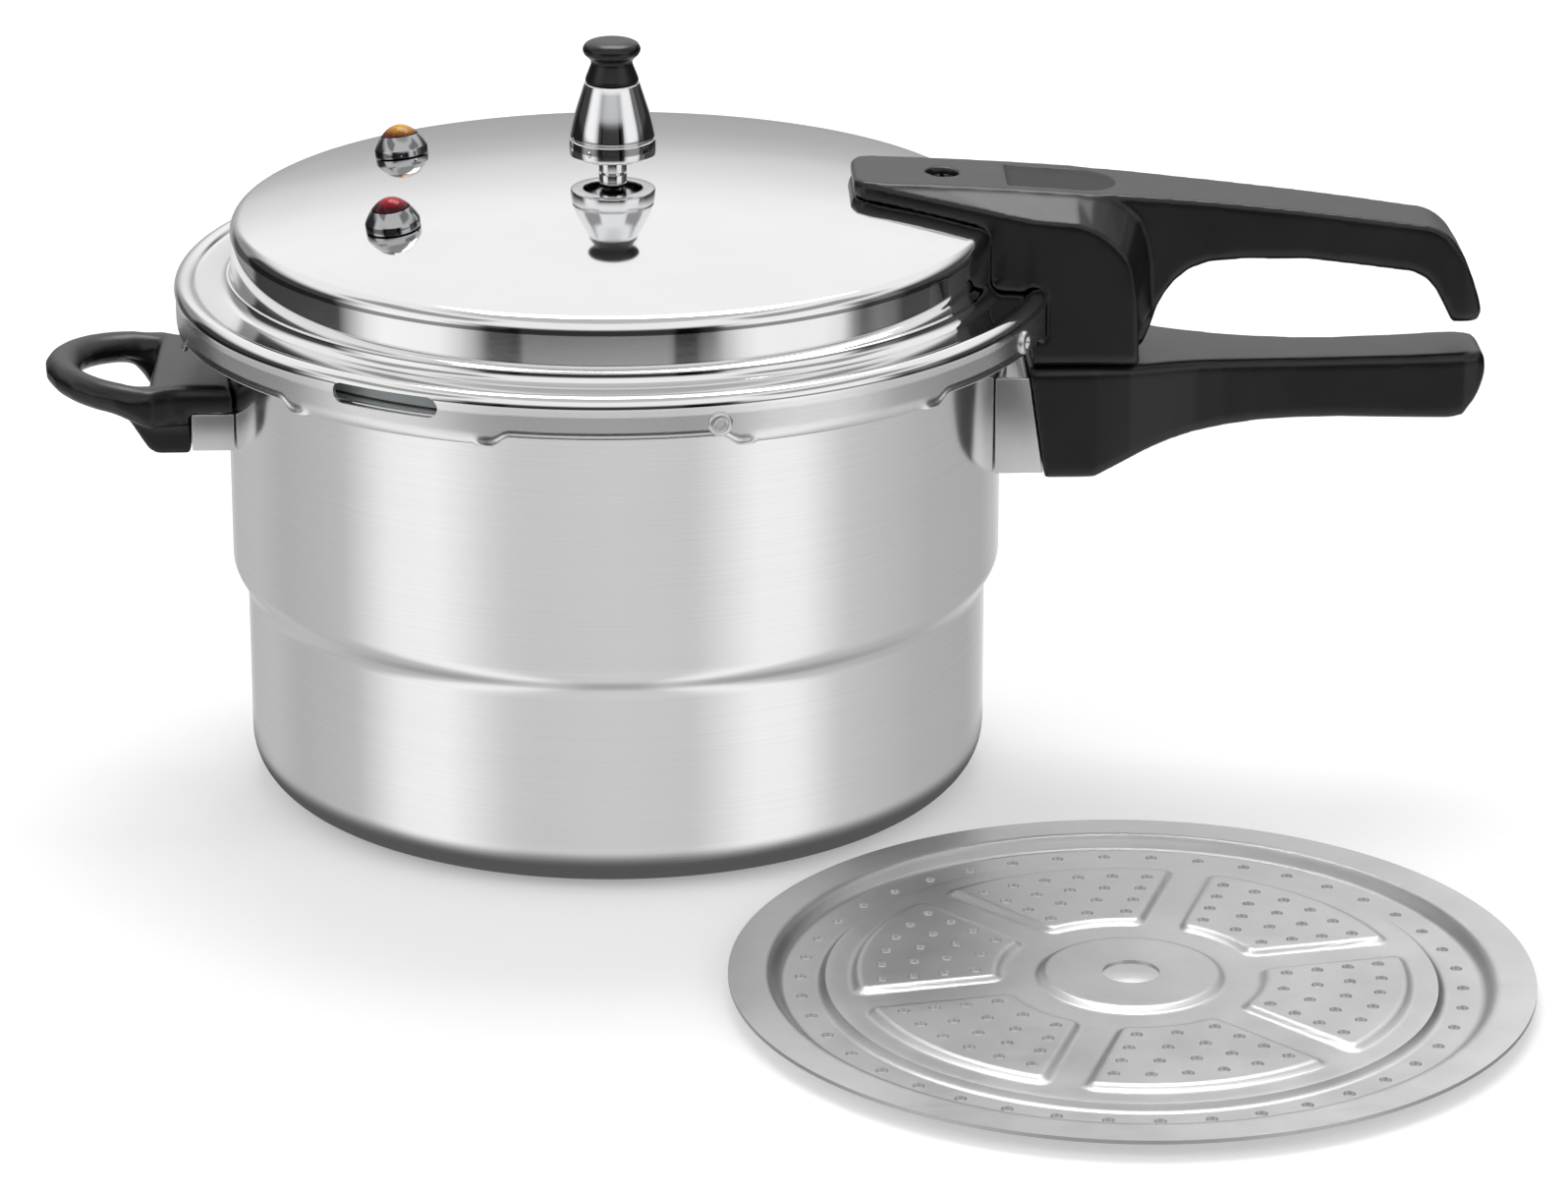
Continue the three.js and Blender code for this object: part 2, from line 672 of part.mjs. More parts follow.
// Domed housing with a threaded tail through the lid
function valveHousing() {
  const seatR = JEWEL_R + BORE_PLAY;
  const stemR = STEM_R + BORE_PLAY;
  return revolve(
    [
      [stemR, seatFloor],
      [seatR, seatFloor],
      ...domeProfile(seatR, VALVE_R, 5),
      [VALVE_R, FIT],
      [VALVE_THREAD_R, FIT],
      [VALVE_THREAD_R, valveFoot],
      [stemR, valveFoot],
      [stemR, seatFloor],
    ],
    MEDIUM_ROUND,
  );
}

// Coloured cap of a valve, with its stem down to a given depth
function jewel(stemR, stemLow) {
  return revolve(
    [
      [0, stemLow],
      [stemR, stemLow],
      [stemR, seatFloor + FIT],
      [JEWEL_R, seatFloor + FIT],
      ...domeProfile(JEWEL_R, 0, 4),
    ],
    SMALL_ROUND,
  );
}

// Metal stem below the float's jewel, with the foot that stops its rise
function floatStem() {
  const footTop = valveFoot - FLOAT_TRAVEL - FLOAT_SEAL_H - 2 * FIT;
  return revolve(
    [
      [0, seatFloor - FIT],
      [STEM_R, seatFloor - FIT],
      [STEM_R, footTop],
      [FLOAT_FOOT_R, footTop],
      [FLOAT_FOOT_R, footTop - FLOAT_FOOT_H],
      [0, footTop - FLOAT_FOOT_H],
    ],
    SMALL_ROUND,
  );
}

function floatSeal() {
  const low = valveFoot - FLOAT_TRAVEL - FLOAT_SEAL_H - FIT;
  return collar(STEM_R + BORE_PLAY, FLOAT_FOOT_R - FIT, low, low + FLOAT_SEAL_H);
}

// Section of the pot handle at one station, with rounded corners
function potHandleRing([out, half, low, high, lean]) {
  const edge = HANDLE_EDGE;
  const side = [
    [half - edge, low],
    [half, low + edge],
    [half, high - edge],
    [half - edge, high],
  ];
  const mirrored = side.map(([y, z]) => [-y, z]).reverse();
  return [...side, ...mirrored].map(([y, z]) => [skirtR + out + lean * (splitZ - z), y, z]);
}

// Lower long handle: deep and wide at the pot, drawn in to a level grip with a rounded end
function potHandle() {
  const top = splitZ - FIT;
  const root = splitZ - POT_ROOT_H;
  const grip = splitZ - 2 - POT_GRIP_H;
  const gripTop = splitZ - 2.2;
  const tip = POT_HANDLE_REACH;
  const webTop = POT_R + POT_BRACKET_OUT - HANDLE_SLANT * (splitZ - potBracketTop);
  const rootOut = webTop + FIT - skirtR;
  const drop = (part) => lerp(root, grip, part);
  const stations = [
    [rootOut, ROOT_HALF, root, top, HANDLE_SLANT],
    [4, ROOT_HALF, root, top, HANDLE_SLANT / 2],
    [12.5, ROOT_HALF - 0.3, root, top, 0],
    [24, ROOT_HALF - 2.8, drop(0.38), top - 0.3, 0],
    [32, ROOT_HALF - 6.5, drop(0.58), top - 0.9, 0],
    [45, ROOT_HALF - 11.5, drop(0.8), gripTop + 0.4, 0],
    [66, GRIP_HALF + 1.6, drop(0.97), gripTop - 0.5, 0],
    [92, GRIP_HALF, grip, gripTop - 0.7, 0],
    [tip - 12, GRIP_HALF + 1.2, grip - 0.4, gripTop + 0.3, 0],
    [tip - 6, GRIP_HALF + 0.4, grip + 2, gripTop + 0.5, 0],
    [tip - 2, GRIP_HALF - 1.4, grip + 7.5, gripTop + 0.2, 0],
    [tip, GRIP_HALF - 4, grip + 12.5, gripTop - 2.5, 0],
  ];
  const bent = [...stations.slice(0, 2), ...eased(stations.slice(2), 2)];
  const body = loft(bent.map(potHandleRing));
  return cut(body, handleScrewHole(rootOut, potScrewZ));
}

// Blind hole in a handle's root for the screw from the bracket
function handleScrewHole(out, z) {
  const from = skirtR + out - 10;
  const hole = rod(SCREW_R + BORE_PLAY, 0, POT_SCREW_LENGTH + 10 + FIT);
  return hole.rotateY(Math.PI / 2).translate(from, 0, z);
}

// Section of the lid handle: straight sides, a sloping shoulder and a flat top. Sweep carries the
// middle of the section further out than its sides.
function lidHandleRing([out, topHalf, half, low, shoulder, high, sweep = 0]) {
  const edge = HANDLE_EDGE;
  const side = [
    [half - edge, low],
    [half, low + edge],
    [half, shoulder],
    [topHalf, high - edge / 2],
    [topHalf - edge / 2, high],
  ];
  const mirrored = side.map(([y, z]) => [-y, z]).reverse();
  const x = (y) => skirtR + out + sweep * (ROOT_HALF - Math.abs(y));
  return [...side, ...mirrored].map(([y, z]) => [x(y), y, z]);
}

// Level of the lid handle's top, falling away along a shallow curve from its nose
function lidHandleTop(out) {
  const along = out + LID_NOSE;
  const noseTop = crownZ - (skirtR - LID_NOSE) ** 2 / (2 * CROWN_R) + NOSE_H;
  return noseTop - 0.034 * along - 0.00033 * along ** 2;
}

// Root of the lid handle: a flat nose on the dome and a wide block over the skirt, rounded at its far end
function lidHandleRoot(low) {
  const buried = dishZ - LID_SHEET;
  const nose = -LID_NOSE;
  const top = lidHandleTop;
  const fall = (out, part) => lerp(top(out), low, part);
  return loft(
    [
      [nose, NOSE_HALF - 5.5, NOSE_HALF - 5, buried, top(nose) - 1.6, top(nose) - 0.5],
      [nose + 2.5, NOSE_HALF - 1.5, NOSE_HALF - 1, buried, top(nose) - 1.4, top(nose)],
      [nose + 7.5, NOSE_HALF, NOSE_HALF + 0.8, buried, top(nose) - 1.7, top(nose + 7.5)],
      [-35, NOSE_HALF, lerp(NOSE_HALF, ROOT_HALF, 0.45), buried, top(-35) - 4, top(-35)],
      [-17, NOSE_HALF, ROOT_HALF - 2, buried, top(-17) - 5.8, top(-17)],
      [-8, NOSE_HALF, ROOT_HALF, buried, top(-8) - 6.6, top(-8)],
      [-7.4, NOSE_HALF, ROOT_HALF, low, top(-7) - 6.6, top(-7)],
      [6.4, NOSE_HALF, ROOT_HALF, low, top(6) - 7, top(6), 0],
      [11, NOSE_HALF, ROOT_HALF, low, top(11) - 8.4, top(11) - 0.4, 0.1],
      [14.7, NOSE_HALF - 0.5, ROOT_HALF, low, fall(14.7, 0.2), fall(14.7, 0.025), 0.2],
      [18.5, NOSE_HALF - 1, ROOT_HALF, low, fall(18.5, 0.26), fall(18.5, 0.06), 0.27],
      [21.7, NOSE_HALF - 1.5, ROOT_HALF, low, fall(21.7, 0.33), fall(21.7, 0.13), 0.32],
      [23.6, NOSE_HALF - 2, ROOT_HALF - 0.1, low, fall(23.6, 0.43), fall(23.6, 0.24), 0.34],
      [24.8, NOSE_HALF - 2.5, ROOT_HALF - 0.4, low, fall(24.8, 0.58), fall(24.8, 0.4), 0.35],
      [25.4, NOSE_HALF - 3, ROOT_HALF - 1.2, low + 1, fall(25.4, 0.8), fall(25.4, 0.7), 0.36],
    ].map(lidHandleRing),
  );
}

// Grip of the lid handle: it grows out of the root, arches over the fingers and turns down at its tip
function lidHandleGrip(low) {
  const arch = splitZ + FINGER_GAP;
  const tip = LID_HANDLE_REACH;
  const top = lidHandleTop;
  const wide = NOSE_HALF - 1.2;
  const gripLow = (out) => Math.min(arch, top(out) - LID_GRIP_H);
  const rise = (part) => lerp(low, arch, part);
  return loft(
    [
      [2, wide - 1, wide - 1, low + 4, top(2) - 9, top(2) - 1.2],
      [9, wide, wide, low + 2, top(9) - 9, top(9) - 0.1],
      [20, wide, wide, low + 2, top(20) - 9, top(20)],
      [28, wide - 0.4, wide - 0.4, low + 2, top(28) - 10, top(28)],
      [30.4, wide - 0.6, wide - 0.6, rise(0.26), top(30) - 10, top(30)],
      [32.6, wide - 0.8, wide - 0.8, rise(0.49), top(33) - 10, top(33)],
      [35, wide - 1, wide - 1, rise(0.64), top(35) - 10, top(35)],
      [38, wide - 1.2, wide - 1.2, rise(0.77), top(38) - 10, top(38)],
      [42.7, wide - 1.5, wide - 1.5, rise(0.9), top(43) - 10, top(43)],
      [49, GRIP_HALF + 1.6, GRIP_HALF + 1.6, rise(0.975), top(49) - 10, top(49)],
      [60, GRIP_HALF + 1.2, GRIP_HALF + 1.2, gripLow(60), top(60) - 10, top(60)],
      [80, GRIP_HALF + 0.8, GRIP_HALF + 0.8, gripLow(80), top(80) - 9, top(80)],
      [98, GRIP_HALF + 0.5, GRIP_HALF + 0.5, gripLow(98), top(98) - 9, top(98)],
      [tip - 22.5, GRIP_HALF, GRIP_HALF, gripLow(tip - 22.5), top(tip - 22) - 9, top(tip - 22)],
      [tip - 18, GRIP_HALF, GRIP_HALF, gripLow(tip - 18) - 1.7, top(tip - 18) - 10, top(tip - 18)],
      [tip - 15, GRIP_HALF, GRIP_HALF, gripLow(tip - 15) - 4.8, top(tip - 15) - 11, top(tip - 15) - 0.6],
      [tip - 12, GRIP_HALF - 0.2, GRIP_HALF - 0.2, gripLow(tip) - 8, top(tip - 12) - 13, top(tip - 12) - 2],
      [tip - 9.5, GRIP_HALF - 0.5, GRIP_HALF - 0.5, splitZ + 8.3, top(tip - 9) - 15, top(tip - 9) - 4],
      [tip - 6, GRIP_HALF - 0.8, GRIP_HALF - 0.8, splitZ + 8, top(tip - 6) - 18, top(tip - 6) - 9],
      [tip - 3, GRIP_HALF - 1.4, GRIP_HALF - 1.4, splitZ + 8, top(tip - 3) - 22, top(tip - 3) - 16],
      [tip - 1, GRIP_HALF - 2.4, GRIP_HALF - 2, splitZ + 8.4, top(tip) - 25, top(tip) - 21.5],
      [tip, GRIP_HALF - 5, GRIP_HALF - 4, splitZ + 10, top(tip) - 26.3, top(tip) - 25],
    ].map(lidHandleRing),
  );
}

// Upper long handle: root and grip in one moulding, cut to the lid, its strap, its screw and the recess
function lidHandle() {
  const low = splitZ + FIT;
  const body = join(lidHandleRoot(low), lidHandleGrip(low));
  const screwX = skirtR - LID_SCREW_IN;
  const screwTop = lidHandleTop(-LID_SCREW_IN);
  const sink = rod(SCREW_SINK_R, screwTop - SCREW_SINK, screwTop + SCREW_SINK).translate(screwX, 0, 0);
  const hole = rod(SCREW_R + BORE_PLAY, crownZ - LID_HEIGHT, screwTop).translate(screwX, 0, 0);
  const strapRoom = common(lidEnvelope(STRAP_T + 3 * FIT), strapBand(STRAP_HALF + FIT, FIT));
  return cut(body, lidEnvelope(FIT), strapRoom, sink, hole, labelRecess());
}

// Shallow bare recess in the lid handle's top, square at the lid end and round at the other
function labelRecess() {
  const from = -LABEL_FROM;
  const to = from + LABEL_LENGTH;
  const straight = LABEL_LENGTH - LABEL_HALF;
  const shape = new THREE.Shape();
  shape.moveTo(0, -LABEL_HALF);
  shape.lineTo(straight, -LABEL_HALF);
  shape.absarc(straight, 0, LABEL_HALF, -Math.PI / 2, Math.PI / 2);
  shape.lineTo(0, LABEL_HALF);
  const fall = Math.atan2(lidHandleTop(from) - lidHandleTop(to), LABEL_LENGTH);
  const tool = prism(shape, -LABEL_DEPTH, LABEL_DEPTH * 4, 4).rotateY(fall);
  return tool.translate(skirtR + from, 0, lidHandleTop(from));
}

// Box round the strip of lid that the handle's strap covers
const strapBand = (half, end) =>
  block(skirtR - STRAP_BACK - end, skirtR - SKIRT_BEAD, -half, half, dishZ, crownZ + NOSE_H);

// Sheet strap welded along the lid below the handle, which the handle's screw pulls on
function lidHandleStrap() {
  const hugging = cut(lidEnvelope(FIT + STRAP_T), lidEnvelope(FIT));
  const hole = rod(SCREW_R + BORE_PLAY, flangeZ, crownZ + NOSE_H).translate(skirtR - LID_SCREW_IN, 0, 0);
  return cut(common(hugging, strapBand(STRAP_HALF, 0)), hole);
}

// Pan-head screw, its head at the top
function screw(length) {
  return revolve(
    [
      [0, -length],
      [SCREW_R, -length],
      [SCREW_R, 0],
      [SCREW_HEAD_R, 0],
      [SCREW_HEAD_R, SCREW_HEAD_H * 0.6],
      [SCREW_HEAD_R * 0.7, SCREW_HEAD_H],
      [0, SCREW_HEAD_H],
    ],
    SMALL_ROUND,
  );
}

function lidHandleScrew() {
  const seat = lidHandleTop(-LID_SCREW_IN) - SCREW_SINK + FIT;
  const lidSurface = crownZ - (skirtR - LID_SCREW_IN) ** 2 / (2 * CROWN_R);
  const length = seat - lidSurface - 2 * FIT;
  return screw(length).translate(skirtR - LID_SCREW_IN, 0, seat);
}

// Sheet bracket on the wall, open above and below: a web with a screw hole, two cheeks, and two wings
// turned in between them
function handleBracket(outReach, top, height, slant) {
  const inR = POT_R + FIT;
  const outR = inR + BRACKET_T;
  const webX = POT_R + outReach;
  const cheekIn = BRACKET_HALF - BRACKET_T;
  const outer = Math.asin(BRACKET_HALF / inR);
  const inner = Math.asin(cheekIn / outR);
  const wing = inner - BRACKET_FLANGE / POT_R;
  const shape = new THREE.Shape();
  shape.absarc(0, 0, inR, wing, outer, false);
  shape.lineTo(webX, BRACKET_HALF);
  shape.lineTo(webX, -BRACKET_HALF);
  shape.absarc(0, 0, inR, -outer, -wing, false);
  shape.absarc(0, 0, outR, -wing, -inner, true);
  shape.lineTo(webX - BRACKET_T, -cheekIn);
  shape.lineTo(webX - BRACKET_T, cheekIn);
  shape.absarc(0, 0, outR, inner, wing, true);
  const sheet = prism(shape, top - height, top, 2);
  const position = sheet.getAttribute('position');
  for (let i = 0; i < position.count; i++) {
    const between = Math.abs(position.getY(i)) < BRACKET_HALF + FIT;
    const onWeb = position.getX(i) > webX - BRACKET_T - FIT && between;
    if (onWeb) position.setX(i, position.getX(i) + slant * (top - position.getZ(i)));
  }
  const hole = rod(SCREW_R + BORE_PLAY, 0, 4 * BRACKET_T).rotateY(Math.PI / 2);
  return cut(sheet, hole.translate(webX - 2 * BRACKET_T, 0, top - height / 2));
}

const potBracketTop = RIM_Z - POT_BRACKET_TOP;
const potScrewZ = potBracketTop - POT_BRACKET_H / 2;
const helperBracketTop = RIM_Z - HELPER_BRACKET_TOP;
const helperScrewZ = helperBracketTop - HELPER_BRACKET_H / 2;

// Screw from inside a bracket into its handle, its head against the web
function handleScrew(length, outReach, z, slant, drop) {
  const face = POT_R + outReach - BRACKET_T - FIT + slant * (drop - SCREW_HEAD_R);
  return screw(length).rotateY(-Math.PI / 2).translate(face, 0, z);
}

// Helper handle: a flat loop for the fingers and a block that comes down to the bracket
function helperHandle() {
  const top = RIM_Z - HELPER_TOP;
  const loopLow = top - HELPER_LOOP_H;
  const blockLow = top - HELPER_BLOCK_H;
  const wall = POT_R + FIT;
  const far = POT_R + HELPER_REACH;
  const holeFar = far - HELPER_RIM;
  const holeNear = holeFar - HELPER_HOLE;
  const blockNear = POT_R + HELPER_BRACKET_OUT + 2 * FIT;
  const blockFar = blockNear + HELPER_BLOCK_LENGTH;
  const outline = new THREE.Shape();
  outline.moveTo(wall - HELPER_EDGE, -ROOT_HALF);
  outline.lineTo(blockNear, -ROOT_HALF);
  outline.bezierCurveTo(blockFar - 6, -ROOT_HALF, holeNear - 4, -HELPER_HALF, holeNear, -HELPER_HALF);
  outline.absellipse(holeNear, 0, far - holeNear, HELPER_HALF, -Math.PI / 2, Math.PI / 2, false, 0);
  outline.bezierCurveTo(holeNear - 4, HELPER_HALF, blockFar - 6, ROOT_HALF, blockNear, ROOT_HALF);
  outline.lineTo(wall - HELPER_EDGE, ROOT_HALF);
  const holeHalf = HELPER_HALF - HELPER_RIM;
  const hole = new THREE.Path();
  hole.absellipse(holeNear, 0, HELPER_HOLE, holeHalf, -Math.PI / 2, Math.PI / 2, false, 0);
  outline.holes.push(hole);
  const loop = new THREE.ExtrudeGeometry(outline, {
    depth: HELPER_LOOP_H - 2 * HELPER_EDGE,
    bevelThickness: HELPER_EDGE,
    bevelSize: HELPER_EDGE,
    bevelOffset: -HELPER_EDGE,
    bevelSegments: 2,
    curveSegments: 6,
  }).translate(0, 0, loopLow + HELPER_EDGE);
  const side = new THREE.Shape();
  side.moveTo(blockNear, blockLow);
  side.lineTo(blockFar - 3, blockLow);
  side.bezierCurveTo(blockFar + 2, blockLow, blockFar + 4, loopLow - 1, blockFar + 11, loopLow + HELPER_EDGE);
  side.lineTo(blockNear, loopLow + HELPER_EDGE);
  const depth = 2 * (ROOT_HALF - HELPER_EDGE);
  const foot = new THREE.ExtrudeGeometry(side, { depth, bevelEnabled: false, curveSegments: 6 });
  foot.rotateX(Math.PI / 2).translate(0, depth / 2, 0);
  const whole = join(loop, cut(foot, prism(fingerHole(holeNear, holeHalf), blockLow - 1, top)));
  const wallRoom = rod(wall, blockLow - FIT, top + FIT, ROUND);
  const reach = blockNear - wall;
  const roomTop = helperBracketTop + FIT;
  const bracketRoom = block(wall - reach, blockNear, -HELPER_HALF, HELPER_HALF, blockLow - FIT, roomTop);
  const screwHole = rod(SCREW_R + BORE_PLAY, 0, HELPER_SCREW_LENGTH).rotateY(Math.PI / 2);
  screwHole.translate(blockNear - BRACKET_T, 0, helperScrewZ);
  return cut(whole, wallRoom, bracketRoom, screwHole).rotateZ(Math.PI);
}

// Outline of the finger hole by itself
function fingerHole(near, half) {
  const shape = new THREE.Shape();
  shape.absellipse(near, 0, HELPER_HOLE, half, -Math.PI / 2, Math.PI / 2, false, 0);
  return shape;
}

// Radii of the steam plate's rings
const flangeIn = plateR - PLATE_FLANGE;
const channelOut = flangeIn - PLATE_SLOPE;
const channelIn = channelOut - CHANNEL_WIDTH;
const floorOut = channelIn - CHANNEL_SLOPE;
const panelOutR = floorOut - PANEL_OUT;
const floorTop = PLATE_SHEET + CHANNEL_RISE;

// Pressed outline of one sector panel, between two straight bars
function panelShape(inset) {
  const half = PANEL_GAP / 2 + inset;
  const turn = rad(180 / PANEL_COUNT);
  const outR = panelOutR - inset;
  const inR = PANEL_IN_R + inset;
  const edge = (r) => turn - Math.asin(half / r);
  const at = (r, angle) => new THREE.Vector2(r * Math.cos(angle), r * Math.sin(angle));
  const corner = PANEL_CORNER;
  const shape = new THREE.Shape();
  const [outEdge, inEdge] = [edge(outR), edge(inR)];
  const soften = corner / outR;
  shape.absarc(0, 0, outR, -outEdge + soften, outEdge - soften, false);
  const outCorner = at(outR, outEdge);
  const sideOut = at(outR - corner, edge(outR - corner));
  shape.quadraticCurveTo(outCorner.x, outCorner.y, sideOut.x, sideOut.y);
  const sideIn = at(inR + corner / 2, edge(inR + corner / 2));
  const inCorner = at(inR, inEdge);
  shape.lineTo(sideIn.x, sideIn.y);
  const innerStart = inEdge - corner / 2 / inR;
  const innerPoint = at(inR, innerStart);
  shape.quadraticCurveTo(inCorner.x, inCorner.y, innerPoint.x, innerPoint.y);
  shape.absarc(0, 0, inR, innerStart, -innerStart, true);
  shape.quadraticCurveTo(inCorner.x, -inCorner.y, sideIn.x, -sideIn.y);
  shape.lineTo(sideOut.x, -sideOut.y);
  const last = at(outR, -outEdge + soften);
  shape.quadraticCurveTo(outCorner.x, -outCorner.y, last.x, last.y);
  return shape;
}

// Pad with sloping sides that start at one level and end at a higher one
function panelPad(inset, slopeLow, high) {
  const pad = new THREE.ExtrudeGeometry(panelShape(inset), {
    depth: high - slopeLow - PANEL_RISE,
    bevelThickness: PANEL_RISE,
    bevelSize: PANEL_SLOPE,
    bevelOffset: -PANEL_SLOPE,
    bevelSegments: 1,
    curveSegments: 2,
  });
  return pad.translate(0, 0, slopeLow);
}

// Round steam holes: one ring in the channel and rows in every panel
function steamHoles() {
  const spots = [];
  const channelR = (channelOut + channelIn) / 2;
  for (let i = 0; i < CHANNEL_HOLES; i++) {
    spots.push([channelR, (2 * Math.PI * (i + 0.5)) / CHANNEL_HOLES]);
  }
  for (let p = 0; p < PANEL_COUNT; p++) {
    const middle = rad(PANEL_TURN + (360 / PANEL_COUNT) * (p + 0.5));
    PANEL_ROWS.forEach((count, row) => {
      const r = panelOutR - ROW_INSET - row * ROW_PITCH;
      const reach = rad(180 / PANEL_COUNT) - Math.asin((PANEL_GAP / 2 + ROW_PITCH * 0.75) / r);
      for (let i = 0; i < count; i++) spots.push([r, middle + reach * ((2 * i) / (count - 1) - 1)]);
    });
  }
  const high = floorTop + PANEL_RISE + 1;
  const holes = spots.map(([r, angle]) => {
    const hole = rod(STEAM_HOLE_R, -1, high, HOLE_SIDES);
    return hole.translate(r * Math.cos(angle), r * Math.sin(angle), 0).toNonIndexed();
  });
  return mergeGeometries(holes);
}

// Pressed plate: flange, perforated channel, six raised panels and a raised hub
function steamPlate() {
  const flangeTop = PLATE_DEPTH + PLATE_SHEET;
  const hubTop = floorTop + PANEL_RISE;
  const top = [
    [HUB_HOLE_R, hubTop],
    [HUB_R - HUB_SLOPE, hubTop],
    [HUB_R, floorTop],
    [floorOut, floorTop],
    [channelIn, PLATE_SHEET],
    [channelOut, PLATE_SHEET],
    [flangeIn, flangeTop],
    [plateR, flangeTop],
  ];
  const bottom = top.map(([r, z]) => [r, z - PLATE_SHEET]).reverse();
  const disc = revolve([...top, ...bottom, top[0]], ROUND);
  const pads = [];
  const hollows = [];
  for (let p = 0; p < PANEL_COUNT; p++) {
    const bearing = rad(PANEL_TURN + (360 / PANEL_COUNT) * (p + 0.5));
    pads.push(panelPad(0, floorTop, floorTop + PANEL_RISE).rotateZ(bearing));
    hollows.push(panelPad(PLATE_SHEET, -1, floorTop - PLATE_SHEET + PANEL_RISE).rotateZ(bearing));
  }
  const plate = cut(join(disc, ...pads), ...hollows, steamHoles());
  const away = POT_R + PLATE_APART + plateR;
  return plate.translate(away * Math.cos(rad(PLATE_BEARING)), away * Math.sin(rad(PLATE_BEARING)), 0);
}

// A valve's pieces stand in one frame that is square to the dome
function valve(side, pieces) {
  const group = new THREE.Group();
  group.applyMatrix4(valveFrame(side));
  group.add(...pieces);
  return group;
}

const pot = new THREE.Group();
pot.add(
  piece('pot_body', potBody(), aluminium()),
  piece(
    'pot_handle_bracket',
    handleBracket(POT_BRACKET_OUT, potBracketTop, POT_BRACKET_H, HANDLE_SLANT),
    aluminium(),
  ),
  piece('pot_handle', potHandle(), phenolic()),
  piece(
    'pot_handle_screw',
    handleScrew(POT_SCREW_LENGTH, POT_BRACKET_OUT, potScrewZ, HANDLE_SLANT, POT_BRACKET_H / 2),
    steel(),
  ),
  piece(
    'helper_bracket',
    handleBracket(HELPER_BRACKET_OUT, helperBracketTop, HELPER_BRACKET_H, 0).rotateZ(Math.PI),
    aluminium(),
  ),
  piece('helper_handle', helperHandle(), phenolic()),
  piece(
    'helper_handle_screw',
    handleScrew(HELPER_SCREW_LENGTH, HELPER_BRACKET_OUT, helperScrewZ, 0, 0).rotateZ(Math.PI),
    steel(),
  ),
);

const lid = new THREE.Group();
lid.add(
  piece('lid_shell', lidShell(), polished()),
  piece('sealing_ring', sealingRing(), rubber()),
  piece('lid_handle_strap', lidHandleStrap(), aluminium()),
  piece('lid_handle', lidHandle(), phenolic()),
  piece('lid_handle_screw', lidHandleScrew(), blackened()),
  ...STOP_BEARINGS.map((bearing, i) => piece(`stop_rivet_${i + 1}`, stopRivet(bearing), aluminium())),
  piece('vent_pipe', ventPipe(), chrome()),
  piece(
    'vent_washer',
    collar(PIPE_THREAD_R + BORE_PLAY, WASHER_R, ventWasherTop - WASHER_H, ventWasherTop),
    rubber(),
  ),
  piece('vent_nut', hexNut(PIPE_THREAD_R + BORE_PLAY, NUT_R, ventNutTop - NUT_H, ventNutTop), steel()),
  piece('vent_filter', ventFilter(), steel()),
);

const valveWasher = () =>
  collar(VALVE_THREAD_R + BORE_PLAY, VALVE_NUT_R, valveWasherTop - VALVE_WASHER_H, valveWasherTop);
const valveNut = () => hexNut(VALVE_THREAD_R + BORE_PLAY, VALVE_NUT_R, valveFoot, valveNutTop);
lid.add(
  valve(-1, [
    piece('float_housing', valveHousing(), chrome()),
    piece('float_washer', valveWasher(), rubber()),
    piece('float_nut', valveNut(), steel()),
    piece('float_jewel', jewel(0, seatFloor + FIT), red()),
    piece('float_stem', floatStem(), steel()),
    piece('float_seal', floatSeal(), rubber()),
  ]),
  valve(1, [
    piece('safety_housing', valveHousing(), chrome()),
    piece('safety_washer', valveWasher(), rubber()),
    piece('safety_nut', valveNut(), steel()),
    piece('safety_plug', jewel(STEM_R, valveFoot), amber()),
  ]),
);

const weight = new THREE.Group();
weight.add(
  piece('pressure_weight', pressureWeight(), chrome()),
  piece('weight_knob', weightKnob(), phenolic()),
);

const cooker = new THREE.Group();
cooker.add(pot, lid, weight, piece('steam_plate', steamPlate(), aluminium()));

export default cooker;
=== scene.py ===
import json
import math

import bmesh
import bpy
from mathutils import Matrix, Vector


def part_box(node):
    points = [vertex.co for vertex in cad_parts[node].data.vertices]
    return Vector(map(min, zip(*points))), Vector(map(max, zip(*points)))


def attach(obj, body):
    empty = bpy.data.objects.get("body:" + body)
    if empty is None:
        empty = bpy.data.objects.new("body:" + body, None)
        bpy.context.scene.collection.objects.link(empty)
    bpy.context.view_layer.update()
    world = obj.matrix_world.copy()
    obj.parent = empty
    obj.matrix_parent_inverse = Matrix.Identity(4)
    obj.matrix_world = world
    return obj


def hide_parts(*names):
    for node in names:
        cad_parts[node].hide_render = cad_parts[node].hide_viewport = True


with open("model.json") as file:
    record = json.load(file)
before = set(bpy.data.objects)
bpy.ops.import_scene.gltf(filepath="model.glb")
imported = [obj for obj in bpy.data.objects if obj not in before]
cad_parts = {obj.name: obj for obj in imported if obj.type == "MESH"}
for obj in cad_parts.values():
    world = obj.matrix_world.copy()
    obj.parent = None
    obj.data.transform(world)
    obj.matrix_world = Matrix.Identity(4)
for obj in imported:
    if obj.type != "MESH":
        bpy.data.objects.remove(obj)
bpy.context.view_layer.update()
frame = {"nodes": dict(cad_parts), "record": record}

# Sizes in millimetres, as the solids have them. The origin is the middle of the pot's base.
# Pot: upper and lower wall, sheet, floor, the round at its foot, and the step between the walls
POT_R, LOW_R, WALL, FLOOR, CORNER_R = 123.0, 118.5, 2.0, 3.0, 15.5
STEP_Z, STEP_RISE = 63.5, 11.5
